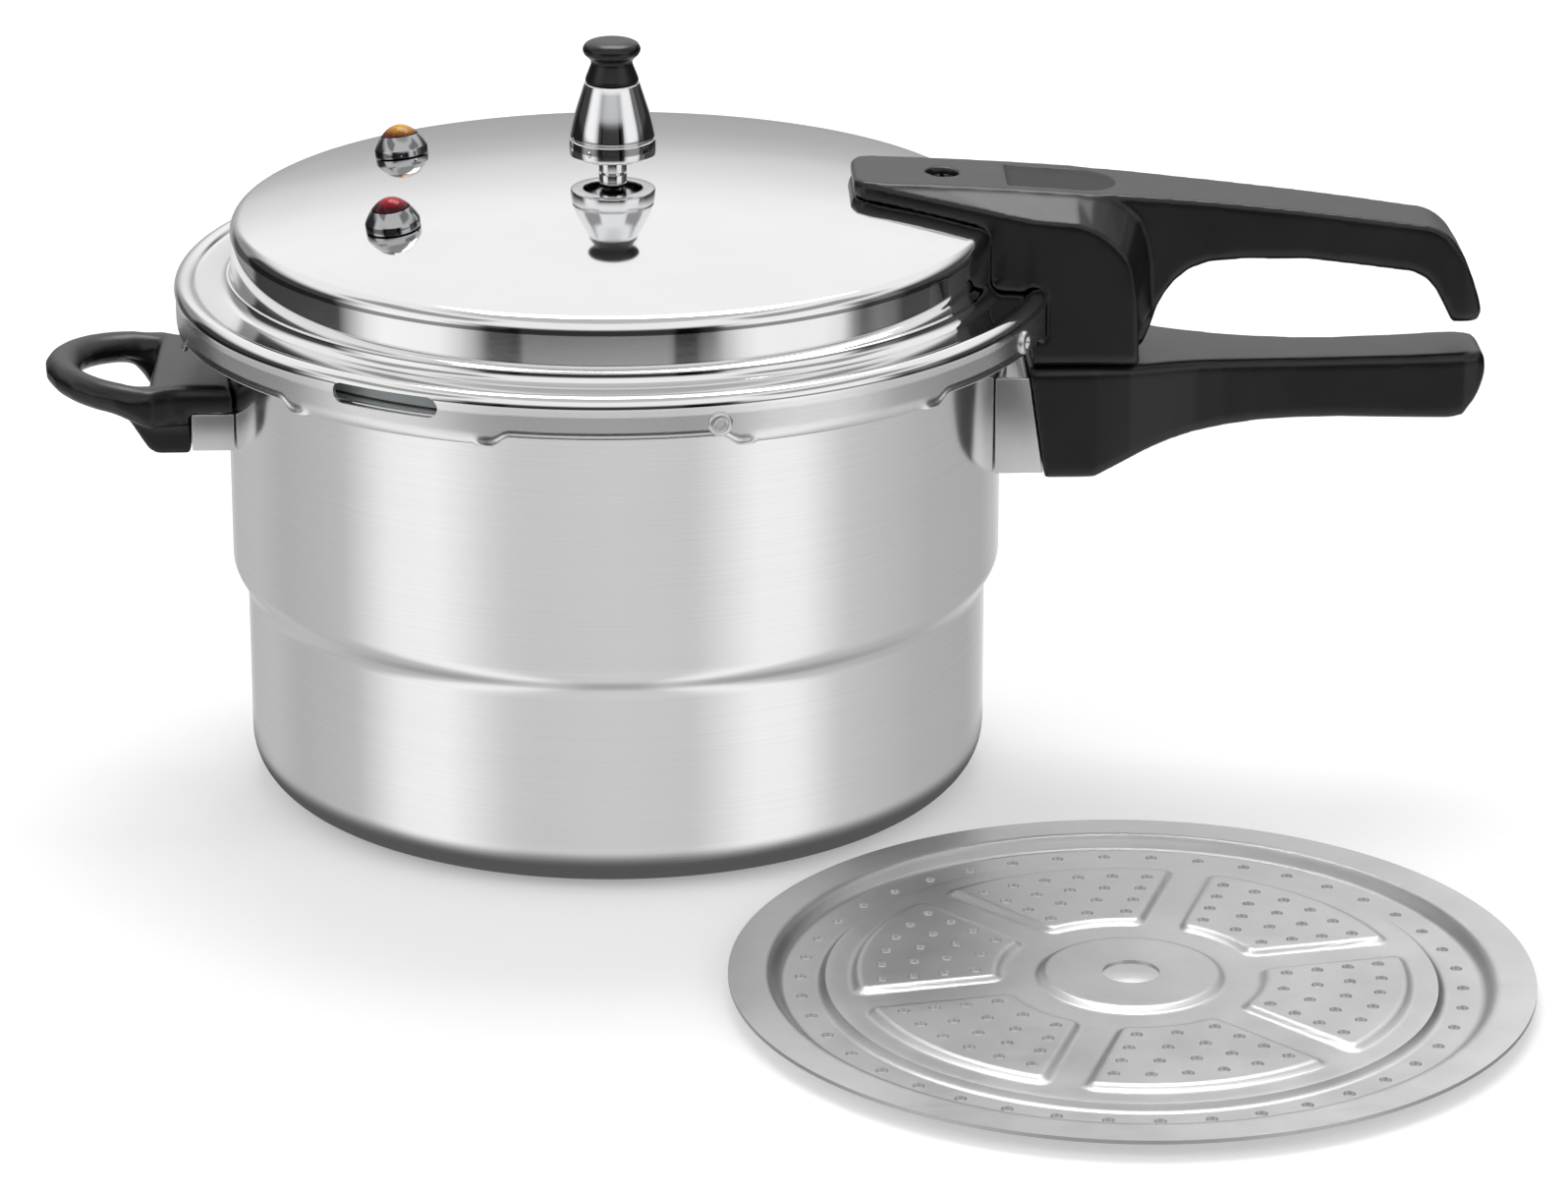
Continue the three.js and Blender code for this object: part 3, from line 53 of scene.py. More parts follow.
# The pot's rim and lugs, and the lid's lobes that hook under them
RIM_Z, RIM_R, RIM_THICK, LUG_R = 157.0, 128.5, 4.2, 134.0
LOBES, LOBE_SPAN = 6, 29.0
# Lid: tops of bead, flange and crown, then its radii, its sheet and its rounds
BEAD_Z, FLANGE_Z, CROWN_Z, CROWN_R = 166.5, 164.7, 197.5, 580.0
BAND_R, SKIRT_R, SHEET, EDGE_R = 121.0, 139.0, 1.8, 5.0
FILLET, BEAD, SKIRT_TOP = 4.0, 3.5, 161.0
# Lobes: lower edge, how far the edge between them is raised, and the inside of their lugs
LOBE_LOW, RAISE, LUG_IN = 150.2, 3.3, 129.7
# Relief window in the skirt
WINDOW_LONG, WINDOW_HIGH, WINDOW_ROUND, WINDOW_BEARING = 36.5, 6.4, 3.15, 240.0
# Valves: their ring on the dome, half the angle between them, and the caps with their jewels
VALVE_RING, VALVE_SPREAD, VALVE_R, VALVE_H = 80.0, 32.0, 8.6, 9.8
VALVE_FOOT, CAP_MOUTH, JEWEL_R, JEWEL_SEAT = -8.4, 5.9, 5.6, VALVE_H - 4.3
# Helper loop: how far out its middle is, the half axes of its outer oval, and half its thickness
LOOP_OUT, LOOP_LONG, LOOP_WIDE, LOOP_HALF = 147.0, 34.0, 34.6, 6.5
# Recess on the lid handle: near end, middle of its round end, half width, and the level it lies above
RECESS_NEAR, RECESS_END, RECESS_HALF, RECESS_Z = 124.0, 147.0, 12.0, 190.0
# Steam plate and its place on the table
PLATE_R, PLATE_SHEET = 119.5, 1.2
PLATE_X, PLATE_Y = 151.14, -193.46

MM = 0.001


class Wire:
    """An output of a node that takes part in plain arithmetic."""

    def __init__(self, finish, socket):
        self.finish, self.socket = finish, socket

    def math(self, operation, *values):
        return self.finish.node("ShaderNodeMath", dict(enumerate(values)), operation=operation)

    def __add__(self, other):
        return self.math("ADD", self, other)

    __radd__ = __add__

    def __sub__(self, other):
        return self.math("SUBTRACT", self, other)

    def __rsub__(self, other):
        return self.math("SUBTRACT", other, self)

    def __mul__(self, other):
        return self.math("MULTIPLY", self, other)

    __rmul__ = __mul__

    def __truediv__(self, other):
        return self.math("DIVIDE", self, other)

    def __rtruediv__(self, other):
        return self.math("DIVIDE", other, self)

    def ramp(self, low, high):
        """0 below low, 1 above high, eased between them."""
        return self.finish.node(
            "ShaderNodeMapRange",
            {"Value": self, "From Min": low, "From Max": high},
            interpolation_type="SMOOTHSTEP",
        )


class Nodes:
    """A node tree that is filled by node()."""

    def __init__(self, tree):
        self.tree = tree
        tree.nodes.clear()

    def node(self, kind, inputs=None, output=0, stops=None, **settings):
        """Adds a node with its settings, the stops of a ramp, and the values or links of its sockets."""
        made = self.tree.nodes.new(kind)
        for key, value in settings.items():
            setattr(made, key, value)
        if stops:
            elements = made.color_ramp.elements
            while len(elements) < len(stops):
                elements.new(1.0)
            for element, (place, shade) in zip(elements, stops):
                element.position, element.color = place, grey(shade)
        for key, value in (inputs or {}).items():
            self.feed(made.inputs[key], value)
        return Wire(self, made.outputs[output]) if made.outputs else made

    def feed(self, socket, value):
        if isinstance(value, Wire):
            self.tree.links.new(value.socket, socket)
        else:
            socket.default_value = value

    def place(self):
        return self.node("ShaderNodeTexCoord", output="Object")

    def axes(self, vector):
        parts = self.node("ShaderNodeSeparateXYZ", {0: vector}).socket.node
        return [Wire(self, output) for output in parts.outputs]

    def stretched(self, scale, turn=(0, 0, 0)):
        return self.node("ShaderNodeMapping", {"Vector": self.place(), "Scale": scale, "Rotation": turn})

    def noise(self, vector, scale, detail=3.0, roughness=0.55):
        return self.node(
            "ShaderNodeTexNoise",
            {"Vector": vector, "Scale": scale, "Detail": detail, "Roughness": roughness},
        )

    def blend(self, factor, first, second):
        return self.node(
            "ShaderNodeMix",
            {0: factor, 6: first, 7: second},
            output=2,
            data_type="RGBA",
        )


class Finish(Nodes):
    """A material with one Principled shader."""

    def __init__(self, name, **constants):
        self.material = bpy.data.materials.new(name)
        self.material.use_nodes = True
        super().__init__(self.material.node_tree)
        self.shader = self.node("ShaderNodeBsdfPrincipled").socket.node
        self.node("ShaderNodeOutputMaterial", {"Surface": Wire(self, self.shader.outputs[0])})
        self.give(**constants)

    def give(self, **values):
        for key, value in values.items():
            self.feed(self.shader.inputs[key.replace("_", " ").title().replace("Ior", "IOR")], value)

    def bump(self, height, strength, distance):
        sockets = {"Height": height, "Strength": strength, "Distance": distance}
        self.give(normal=self.node("ShaderNodeBump", sockets))


def colour(r, g, b):
    return (r, g, b, 1)


def grey(shade):
    return colour(shade, shade, shade)


def turned_aluminium(name, shade, rough, brushing):
    """Satin sheet, turned on a lathe: fine rings round Z that soften reflections up and down."""
    f = Finish(name, metallic=1.0, anisotropic=0.5, anisotropic_rotation=0.25)
    rings = f.noise(f.stretched((14, 14, 2600)), 1.0, 2.0)
    broad = f.noise(f.stretched((9, 9, 60)), 1.0, 2.0)
    smudge = f.noise(f.place(), 24.0, 4.0)
    streaks = rings.ramp(0.3, 0.7) * 0.6 + broad * 0.4
    f.give(base_color=f.blend(streaks, grey(shade * 0.93), grey(shade)))
    f.give(roughness=rough + (rings - 0.5) * 0.08 + (smudge - 0.5) * 0.05)
    f.bump(rings, brushing, 0.0002)
    return f.material


def polished_aluminium(name, shade, rough):
    """Buffed to a mirror, with the haze and faint swirls that buffing leaves, and satin on the skirt."""
    f = Finish(name, metallic=1.0)
    haze = f.noise(f.place(), 30.0, 4.0)
    swirls = f.noise(f.stretched((180, 180, 1500)), 1.0, 3.0)
    skirt = 1 - f.axes(f.place())[2].ramp((SKIRT_TOP + 0.8) * MM, (SKIRT_TOP + 2.4) * MM)
    f.give(base_color=f.blend(haze.ramp(0.3, 0.75), grey(shade), grey(shade * 0.97)))
    f.give(roughness=rough + skirt * 0.2 + (haze - 0.4) * 0.05 + (swirls - 0.5) * (0.03 + skirt * 0.08))
    return f.material


def bright_chrome(name):
    """Polished plating: bright on the weight and its pipe; on the two valve caps its colour is darkened, a
    painted shade for the darker surroundings they mirror.
    """
    f = Finish(name, metallic=1.0)
    haze = f.noise(f.place(), 220.0, 3.0)
    bright = f.blend(haze, colour(0.83, 0.84, 0.86), colour(0.88, 0.88, 0.89))
    # Painted shade: a darker plating colour for the valve caps, standing in for the dark surroundings they mirror
    caps_painted_dark = f.blend(haze, colour(0.4, 0.41, 0.42), colour(0.48, 0.48, 0.49))
    towards_valves = (0 - f.axes(f.place())[0]).ramp(0.04, 0.05)
    f.give(base_color=f.blend(towards_valves, bright, caps_painted_dark))
    f.give(roughness=0.035 + haze * 0.05)
    return f.material


def pressed_sheet(name, shade, rough):
    """Rolled and pressed aluminium, left matt, with the mill's straight grain."""
    f = Finish(name, metallic=1.0)
    grain = f.noise(f.stretched((60, 1900, 60), (0, 0, math.radians(24))), 1.0, 3.0)
    cloud = f.noise(f.place(), 38.0, 5.0, 0.6)
    specks = f.noise(f.place(), 900.0, 2.0)
    f.give(base_color=f.blend(cloud.ramp(0.25, 0.75), grey(shade * 0.9), grey(shade)))
    f.give(roughness=rough + (grain - 0.5) * 0.12 + (cloud - 0.5) * 0.1)
    f.bump(grain * 0.6 + specks * 0.4, 0.12, 0.0002)
    return f.material


def black_phenolic(name):
    """Compression-moulded black resin: satin, faintly mottled, with a fine grain, and matt in the recess."""
    f = Finish(name, specular_ior_level=0.5)
    mottle = f.noise(f.place(), 55.0, 5.0, 0.6)
    grain = f.noise(f.place(), 1400.0, 2.0)
    dark, light = colour(0.005, 0.005, 0.0053), colour(0.009, 0.009, 0.0095)
    f.give(base_color=f.blend(mottle.ramp(0.3, 0.75), dark, light))
    x, y, z = f.axes(f.place())
    past = x.math("MAXIMUM", x - RECESS_END * MM, 0.0)
    within = 1 - (past * past + y * y).ramp(((RECESS_HALF - 0.2) * MM) ** 2, ((RECESS_HALF + 0.1) * MM) ** 2)
    recess = x.ramp((RECESS_NEAR - 0.2) * MM, (RECESS_NEAR + 0.2) * MM) * within
    recess = recess * z.ramp(RECESS_Z * MM, (RECESS_Z + 1) * MM)
    f.give(roughness=0.31 + recess * 0.3 + (mottle - 0.5) * 0.12 + (grain - 0.5) * 0.06)
    f.bump(grain * 0.7 + mottle * 0.3, 0.1, 0.00015)
    return f.material


def tinted_jewel(name, deep, bright, top):
    """Clear tinted cap: deep at its rim and lighter towards the crown, a painted glow of light shining through
    it.
    """
    f = Finish(name, transmission_weight=0.25, ior=1.45, specular_ior_level=0.25)
    height = f.axes(f.place())[2]
    swirl = f.noise(f.place(), 500.0, 2.0)
    # Painted light: the colour lightens towards the crown as if light shone through the cap
    painted_glow = (height + (swirl - 0.5) * 0.0012).ramp(top - 0.0032, top)
    f.give(base_color=f.blend(painted_glow, colour(*deep), colour(*bright)))
    f.give(roughness=0.1 + swirl * 0.08)
    return f.material


def silicone(name):
    """Milky moulded rubber."""
    f = Finish(name, subsurface_weight=0.15)
    cloud = f.noise(f.place(), 120.0, 3.0)
    f.give(base_color=f.blend(cloud, colour(0.5, 0.51, 0.51), colour(0.62, 0.63, 0.63)))
    f.give(roughness=0.5 + cloud * 0.15)
    return f.material


def plated_steel(name, dark, light):
    """Fasteners: zinc plated or dark steel, slightly clouded."""
    f = Finish(name, metallic=1.0)
    cloud = f.noise(f.place(), 260.0, 4.0)
    f.give(base_color=f.blend(cloud, grey(dark), grey(light)))
    f.give(roughness=0.24 + cloud * 0.2)
    return f.material


# Height of the jewels' crowns, in metres
JEWEL_TOP = 0.2022

FINISHES = {
    "pot_aluminium": turned_aluminium("turned_pot", 0.9, 0.16, 0.04),
    "lid_aluminium": polished_aluminium("polished_lid", 0.87, 0.05),
    "plate_aluminium": pressed_sheet("pressed_plate", 0.62, 0.4),
    "bracket_aluminium": pressed_sheet("bracket_sheet", 0.85, 0.38),
    "black_phenolic": black_phenolic("black_phenolic"),
    "chrome": bright_chrome("bright_chrome"),
    "red_jewel": tinted_jewel("red_jewel", (0.05, 0.002, 0.006), (0.62, 0.006, 0.018), JEWEL_TOP),
    "amber_jewel": tinted_jewel("amber_jewel", (0.12, 0.02, 0.006), (1.0, 0.48, 0.03), JEWEL_TOP),
    "silicone": silicone("silicone"),
    "screw_steel": plated_steel("plated_steel", 0.42, 0.58),
    # Near-black steel colour for the screws in this slot
    "black_steel": plated_steel("dark_steel", 0.02, 0.05),
}
SLOT_OF = {row["node"]: row["material_slot"] for row in frame["record"]["subparts"]}
BODY_OF = {n: b for b, nodes in frame["record"]["behaviour"]["bodies"].items() for n in nodes}


def wear(piece, slot):
    piece.data.materials.clear()
    piece.data.materials.append(FINISHES[slot])


for node, cad_piece in frame["nodes"].items():
    wear(cad_piece, SLOT_OF[node])


def piece_of(bm, name, node, crease=35):
    """Finished mesh of a bmesh in millimetres, riding where the node that it stands for rides."""
    bmesh.ops.scale(bm, vec=(MM, MM, MM), verts=bm.verts)
    piece = object_of(bm, name)
    piece.data.shade_smooth()
    piece.data.set_sharp_from_angle(angle=math.radians(crease))
    wear(piece, SLOT_OF[node])
    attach(piece, BODY_OF[node])
    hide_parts(node)
    return piece


def outline(bm, points, closed=False):
    """Wire in the XZ plane. A point's third number rounds its corner, over that length of both edges."""
    verts = [bm.verts.new((p[0], 0, p[1])) for p in points]
    for pair in zip(verts, verts[1:]):
        bm.edges.new(pair)
    if closed:
        bm.edges.new((verts[-1], verts[0]))
    for vert, point in zip(verts, points):
        if len(point) > 2:
            bmesh.ops.bevel(
                bm, geom=[vert], offset=point[2], offset_type="OFFSET", segments=5, profile=0.5,
                affect="VERTICES", material=-1,
            )


def eased(value, low, high):
    """0 below low, 1 above high, eased between them."""
    t = min(max((value - low) / (high - low), 0), 1)
    return t * t * (3 - 2 * t)


def arc(r, z, radius, start, end, steps):
    """Points of a round in an outline, between two angles in degrees."""
    turns = [math.radians(start + (end - start) * i / steps) for i in range(steps + 1)]
    return [(r + radius * math.cos(t), z + radius * math.sin(t)) for t in turns]


def turn(bm, steps, angle=360.0, start=0.0):
    """Spins all that the bmesh holds about Z."""
    whole = angle == 360.0
    bmesh.ops.rotate(bm, cent=(0, 0, 0), matrix=Matrix.Rotation(math.radians(start), 3, "Z"), verts=bm.verts)
    bmesh.ops.spin(
        bm, geom=bm.verts[:] + bm.edges[:], cent=(0, 0, 0), axis=(0, 0, 1), dvec=(0, 0, 0),
        angle=math.radians(angle), steps=steps, use_merge=whole, use_duplicate=False,
    )
    bmesh.ops.remove_doubles(bm, verts=bm.verts, dist=1e-4)
    bmesh.ops.recalc_face_normals(bm, faces=bm.faces)


def turned(points, steps, closed=False):
    """A lathe-turned form."""
    bm = bmesh.new()
    outline(bm, points, closed)
    turn(bm, steps)
    return bm


def add(bm, other):
    """Puts another bmesh's faces into this one."""
    mesh = bpy.data.meshes.new("part")
    other.to_mesh(mesh)
    other.free()
    bm.from_mesh(mesh)
    bpy.data.meshes.remove(mesh)
    return bm


def object_of(bm, name):
    """An object in the scene with the bmesh as its mesh."""
    mesh = bpy.data.meshes.new(name)
    bm.to_mesh(mesh)
    bm.free()
    made = bpy.data.objects.new(name, mesh)
    bpy.context.scene.collection.objects.link(made)
    return made


def carved(bm, tool):
    """The bmesh with the tool's solid cut away."""
    block, cutter = object_of(bm, "block"), object_of(tool, "cutter")
    cut = block.modifiers.new("cut", "BOOLEAN")
    cut.operation, cut.solver, cut.object = "DIFFERENCE", "EXACT", cutter
    return flattened(block, cutter)


def flattened(block, *helpers):
    """A bmesh of an object with its modifiers applied. The object and its helpers are removed."""
    bpy.context.view_layer.update()
    shaped = block.evaluated_get(bpy.context.evaluated_depsgraph_get())
    bm = bmesh.new()
    bm.from_mesh(shaped.to_mesh())
    shaped.to_mesh_clear()
    for used in (block, *helpers):
        data = used.data
        bpy.data.objects.remove(used)
        bpy.data.meshes.remove(data)
    return bm


def solid_copy(node):
    """The node's own solid in millimetres, with its loose triangles merged."""
    bm = bmesh.new()
    bm.from_mesh(frame["nodes"][node].data)
    bmesh.ops.scale(bm, vec=(1 / MM,) * 3, verts=bm.verts)
    bmesh.ops.remove_doubles(bm, verts=bm.verts, dist=1e-3)
    return bm


def lean_loop(bm):
    """Slims the helper's loop from below, crowns it and leans it up towards its end."""
    top = max(v.co.z for v in bm.verts)
    for vert in bm.verts:
        out = -vert.co.x
        slim = 1 - 0.25 * eased(out, 143, 160)
        # -1 on the inner edge of the loop, 0 along its middle and 1 on its outer edge
        across = (math.hypot((out - LOOP_OUT) / LOOP_LONG, vert.co.y / LOOP_WIDE) - 0.84) / 0.16
        crown = 1 - 0.45 * min(across**2, 1) * eased(out, 146, 153)
        middle = LOOP_HALF * slim
        past = max(out - 145, 0)
        lean = 0.1 * past * min(past / 10, 1)
        vert.co.z = top - middle - ((top - vert.co.z) * slim - middle) * crown + lean


def moulded(node, name, grain, rounds, shape=None):
    """A moulding: the solid with its edges and facets melted into soft radii."""
    block = object_of(solid_copy(node), name)
    remesh = block.modifiers.new("skin", "REMESH")
    remesh.mode, remesh.voxel_size = "VOXEL", grain
    smooth = block.modifiers.new("soften", "SMOOTH")
    smooth.factor, smooth.iterations = 0.5, rounds
    bm = flattened(block)
    if shape:
        shape(bm)
    return piece_of(bm, name, node, 180)


def broken_edges(node, name, width):
    """Sheet or bar stock: the solid with its sharp edges broken."""
    bm = solid_copy(node)
    bmesh.ops.dissolve_limit(bm, angle_limit=math.radians(1), verts=bm.verts, edges=bm.edges)
    sharp = [e for e in bm.edges if e.is_manifold and e.calc_face_angle() > math.radians(30)]
    bmesh.ops.bevel(
        bm, geom=sharp, offset=width, offset_type="OFFSET", segments=2, profile=0.5,
        affect="EDGES", material=-1, clamp_overlap=True,
    )
    return piece_of(bm, name, node, 40)


def lug_ring(inner, outer, low, high, round_in, round_out):
    """Six flat lugs on one ring."""
    lugs = bmesh.new()
    section = [(inner, low, round_in), (outer, low, round_out), (outer, high, round_out), (inner, high, round_in)]
    for i in range(LOBES):
        lug = bmesh.new()
        outline(lug, section, True)
        turn(lug, 24, LOBE_SPAN, 360 / LOBES * i - LOBE_SPAN / 2)
        bmesh.ops.holes_fill(lug, edges=lug.edges, sides=0)
        bmesh.ops.recalc_face_normals(lug, faces=lug.faces)
        add(lugs, lug)
    return lugs


def pot_shell():
    """Pot: one turned sheet with a step in its wall, a flat rim and six lugs."""
    lugs = lug_ring(RIM_R - 2, LUG_R, RIM_Z - RIM_THICK, RIM_Z, 0.2, 0.8)
    inner = CORNER_R - WALL
    ease = [(1 - math.cos(math.pi * i / 10)) / 2 for i in range(11)]
    step_out = [(LOW_R + (POT_R - LOW_R) * e, STEP_Z + STEP_RISE * i / 10) for i, e in enumerate(ease)]
    step_in = [(r - WALL, z) for r, z in reversed(step_out)]
    shell = turned(
        [(0, 0), *arc(LOW_R - CORNER_R, CORNER_R, CORNER_R, -90, 0, 12), *step_out]
        + [(POT_R, RIM_Z - RIM_THICK, 0.8), (RIM_R, RIM_Z - RIM_THICK, 1.2), (RIM_R, RIM_Z, 1.2)]
        + [(POT_R - WALL, RIM_Z, 0.8), *step_in]
        + [*arc(LOW_R - CORNER_R, FLOOR + inner, inner, 0, -90, 10), (0, FLOOR)],
        192,
    )
    return piece_of(add(shell, lugs), "pot_shell", "pot_body")


def lid_section():
    """Section of the lid: dome, band, flat flange, raised bead and straight skirt."""
    middle = CROWN_Z - CROWN_R
    edge_in = BAND_R - EDGE_R
    lift = math.sqrt((CROWN_R - EDGE_R) ** 2 - edge_in**2)
    meet = math.degrees(math.atan2(lift, edge_in))
    outside = [*arc(0, middle, CROWN_R, 90, meet, 14), *arc(edge_in, middle + lift, EDGE_R, meet, 0, 8)[1:]]
    outside += [(BAND_R, middle + lift - 0.4), (BAND_R, FLANGE_Z + FILLET + 0.4)]
    outside += arc(BAND_R + FILLET, FLANGE_Z + FILLET, FILLET, 180, 270, 8) + [(SKIRT_R - 6.9, FLANGE_Z, 0.6)]
    outside += arc(SKIRT_R - BEAD, BEAD_Z - BEAD, BEAD, 145, 0, 14)
    levels = [SKIRT_TOP + (LOBE_LOW - SKIRT_TOP) * i / 12 for i in range(13)]
    skirt = [(SKIRT_R - 0.4, z) for z in levels[:-1]] + [(SKIRT_R - 0.4, LOBE_LOW, 0.5)]
    skirt += [(SKIRT_R - SHEET, LOBE_LOW, 0.5)] + [(SKIRT_R - SHEET, z) for z in levels[-2::-1]]
    inside = [(SKIRT_R - SHEET, BEAD_Z - BEAD), (SKIRT_R - BEAD, BEAD_Z - SHEET)]
    inside += [(SKIRT_R - 2 * BEAD, FLANGE_Z - SHEET), (BAND_R - SHEET, FLANGE_Z - SHEET, 1.0)]
    inside += arc(edge_in, middle + lift, EDGE_R - SHEET, 0, meet, 6)
    inside += arc(0, middle, CROWN_R - SHEET, meet, 90, 14)[1:]
    return outside + skirt + inside


def form_skirt(bm):
    """Rolls the lobes' edge in, raises the edge between them and gives it a lip."""
    pitch = 360 / LOBES
    for vert in bm.verts:
        r = math.hypot(vert.co.x, vert.co.y)
        if r < SKIRT_R - 2.5 or vert.co.z > SKIRT_TOP:
            continue
        off = abs((math.degrees(math.atan2(vert.co.y, vert.co.x)) + pitch / 2) % pitch - pitch / 2)
        gap = eased(off, LOBE_SPAN / 2, LOBE_SPAN / 2 + 2.3)
        flat = eased(off, LOBE_SPAN / 2 - 2.6, LOBE_SPAN / 2 - 1.4)
        above = vert.co.z - LOBE_LOW
        roll = min(max(1 - above / 4, 0), 1)
        lip = eased(2.4 - above, 0, 1.6)
        out = flat * 0.5 * lip - (1 - flat) * 2 * (1 - math.sqrt(1 - roll**2))
        vert.co.x *= (r + out) / r
        vert.co.y *= (r + out) / r
        vert.co.z += gap * RAISE * (1 - above / (SKIRT_TOP - LOBE_LOW))


def lid_shell():
    """Lid: the turned shell with its lobed skirt, the relief window and the lugs inside the lobes."""
    shell = turned(lid_section(), 540)
    form_skirt(shell)
    window = bmesh.new()
    bmesh.ops.create_cube(window, size=1)
    bmesh.ops.scale(window, vec=(14, WINDOW_LONG, WINDOW_HIGH), verts=window.verts)
    along = [e for e in window.edges if abs((e.verts[0].co - e.verts[1].co).x) > 1]
    bmesh.ops.bevel(
        window, geom=along, offset=WINDOW_ROUND, offset_type="OFFSET", segments=8, profile=0.5,
        affect="EDGES", material=-1,
    )
    bmesh.ops.translate(window, vec=(SKIRT_R - 2, 0, BEAD_Z - 5.8), verts=window.verts)
    bearing = Matrix.Rotation(math.radians(WINDOW_BEARING), 3, "Z")
    bmesh.ops.rotate(window, cent=(0, 0, 0), matrix=bearing, verts=window.verts)
    lugs = lug_ring(LUG_IN, SKIRT_R - 3.2, LOBE_LOW, LOBE_LOW + 2.2, 0.6, 0.2)
    return piece_of(add(carved(shell, window), lugs), "lid_dome", "lid_shell")


def stop_rivet(node, bearing):
    """Rivet with a hollow head, set in the skirt."""
    bm = turned(
        [(0, -2.6), (2.1, -2.6), (2.1, 0), (3.9, 0, 0.3), (3.5, 1.1, 0.6)]
        + [(1.9, 1.35, 0.4), (1.3, 0.1), (0, -0.2)],
        32,
    )
    on_skirt = Matrix.Translation((SKIRT_R - 0.5, 0, BEAD_Z - 9.2))
    place = Matrix.Rotation(math.radians(bearing), 4, "Z") @ on_skirt
    bmesh.ops.transform(bm, matrix=place @ Matrix.Rotation(math.radians(90), 4, "Y"), verts=bm.verts)
    return piece_of(bm, node + "_eyelet", node)


def pressure_weight():
    """Bell-shaped weight with a groove above its foot, bored to sit over the vent pipe."""
    low, top = CROWN_Z + 5.6, CROWN_Z + 29.2
    mouth = CROWN_Z + 22.3
    bm = turned(
        [(0, top + 7), (3, top + 7), (3, top), (8.6, top, 0.5), (10.6, top - 6.2, 4), (12.6, top - 12.5, 4)]
        + [(13.5, low + 6.3, 0.2), (13.15, low + 6.0, 0.1), (13.15, low + 5.6, 0.1), (13.65, low + 5.3, 0.2)]
        + [(13.9, low + 3, 1.5), (13.75, low, 0.8), (9.5, low, 0.5), (9.5, low + 7), (3.55, low + 7)]
        + [(3.55, mouth), (0.9, mouth), (0, mouth - 2.4)],
        72,
    )
    return piece_of(bm, "weight_chrome", "pressure_weight")


def vent_pipe():
    """Pipe through the middle of the dome, with a collar under the weight."""
    foot, collar, mouth = CROWN_Z - 14, CROWN_Z + 5.5, CROWN_Z + 22
    bm = turned(
        [(1.25, foot, 0.2), (3.7, foot, 0.5), (3.7, CROWN_Z + 0.3), (4.5, CROWN_Z + 0.3, 0.2)]
        + [(4.5, collar, 0.6), (3.2, collar, 0.2), (3.2, mouth, 0.8), (1.25, mouth, 0.2)],
        48,
        True,
    )
    return piece_of(bm, "vent_pipe_turned", "vent_pipe")


def weight_knob():
    """Waisted finger knob on top of the weight."""
    low = CROWN_Z + 29.5
    bm = turned(
        [(3.35, low), (8.4, low, 0.3), (8.4, low + 0.8, 0.4), (6.3, low + 6.2, 0.9), (7.2, low + 7.6, 0.8)]
        + [(9.1, low + 9.0, 1.2), (9.1, low + 11.4, 1.3), (6.5, low + 13.2, 2.4), (0, low + 13.2)]
        + [(0, low + 7.2), (3.35, low + 7.2)],
        72,
        True,
    )
    return piece_of(bm, "knob_moulding", "weight_knob")


def valve_place(side):
    """Square to the dome, at the front with side -1 and at the back with side 1."""
    tilt = math.asin(VALVE_RING / CROWN_R)
    spot = Matrix.Translation((VALVE_RING, 0, CROWN_Z - CROWN_R + CROWN_R * math.cos(tilt)))
    bearing = Matrix.Rotation(math.pi - side * math.radians(VALVE_SPREAD), 4, "Z")
    return bearing @ spot @ Matrix.Rotation(tilt, 4, "Y")


def dome(start, end, steps):
    """The pointed outline that cap and jewel share, between two radii."""
    radii = [start + (end - start) * i / steps for i in range(steps + 1)]
    return [(r, VALVE_H * (1 - (r / (VALVE_R * 1.1)) ** 2) ** 0.8) for r in radii]


def valve_housing(node, side):
    """Domed cap with an open top for the jewel and a bored stem through the lid."""
    seat = JEWEL_SEAT - 0.3
    bm = turned(
        [(2.35, seat), (CAP_MOUTH, seat), *dome(CAP_MOUTH, VALVE_R, 14), (VALVE_R, 0.3)]
        + [(4.2, 0.3), (4.2, VALVE_FOOT), (2.35, VALVE_FOOT)],
        64,
        True,
    )
    bmesh.ops.transform(bm, matrix=valve_place(side), verts=bm.verts)
    return piece_of(bm, node + "_dome", node, 30)


def jewel(node, side, stem):
    """Tinted crown that closes the cap, on a stem or none."""
    bm = turned([*stem, (JEWEL_R, JEWEL_SEAT, 0.4), *dome(JEWEL_R, 0, 12)], 56)
    bmesh.ops.transform(bm, matrix=valve_place(side), verts=bm.verts)
    return piece_of(bm, node + "_cap", node, 40)


def sealing_ring():
    """Ring between rim and flange, with a groove on its inner side."""
    low, high = RIM_Z + 0.3, FLANGE_Z - SHEET - 0.3
    inner, outer = POT_R - WALL + 0.3, POT_R - WALL + 8.8
    bm = turned(
        [(inner, low, 0.6), (outer, low, 0.9), (outer, high, 0.9), (inner, high, 0.6)]
        + [(inner + 4.2, (low + high) / 2, 0.9)],
        144,
        True,
    )
    return piece_of(bm, "sealing_lip", "sealing_ring")


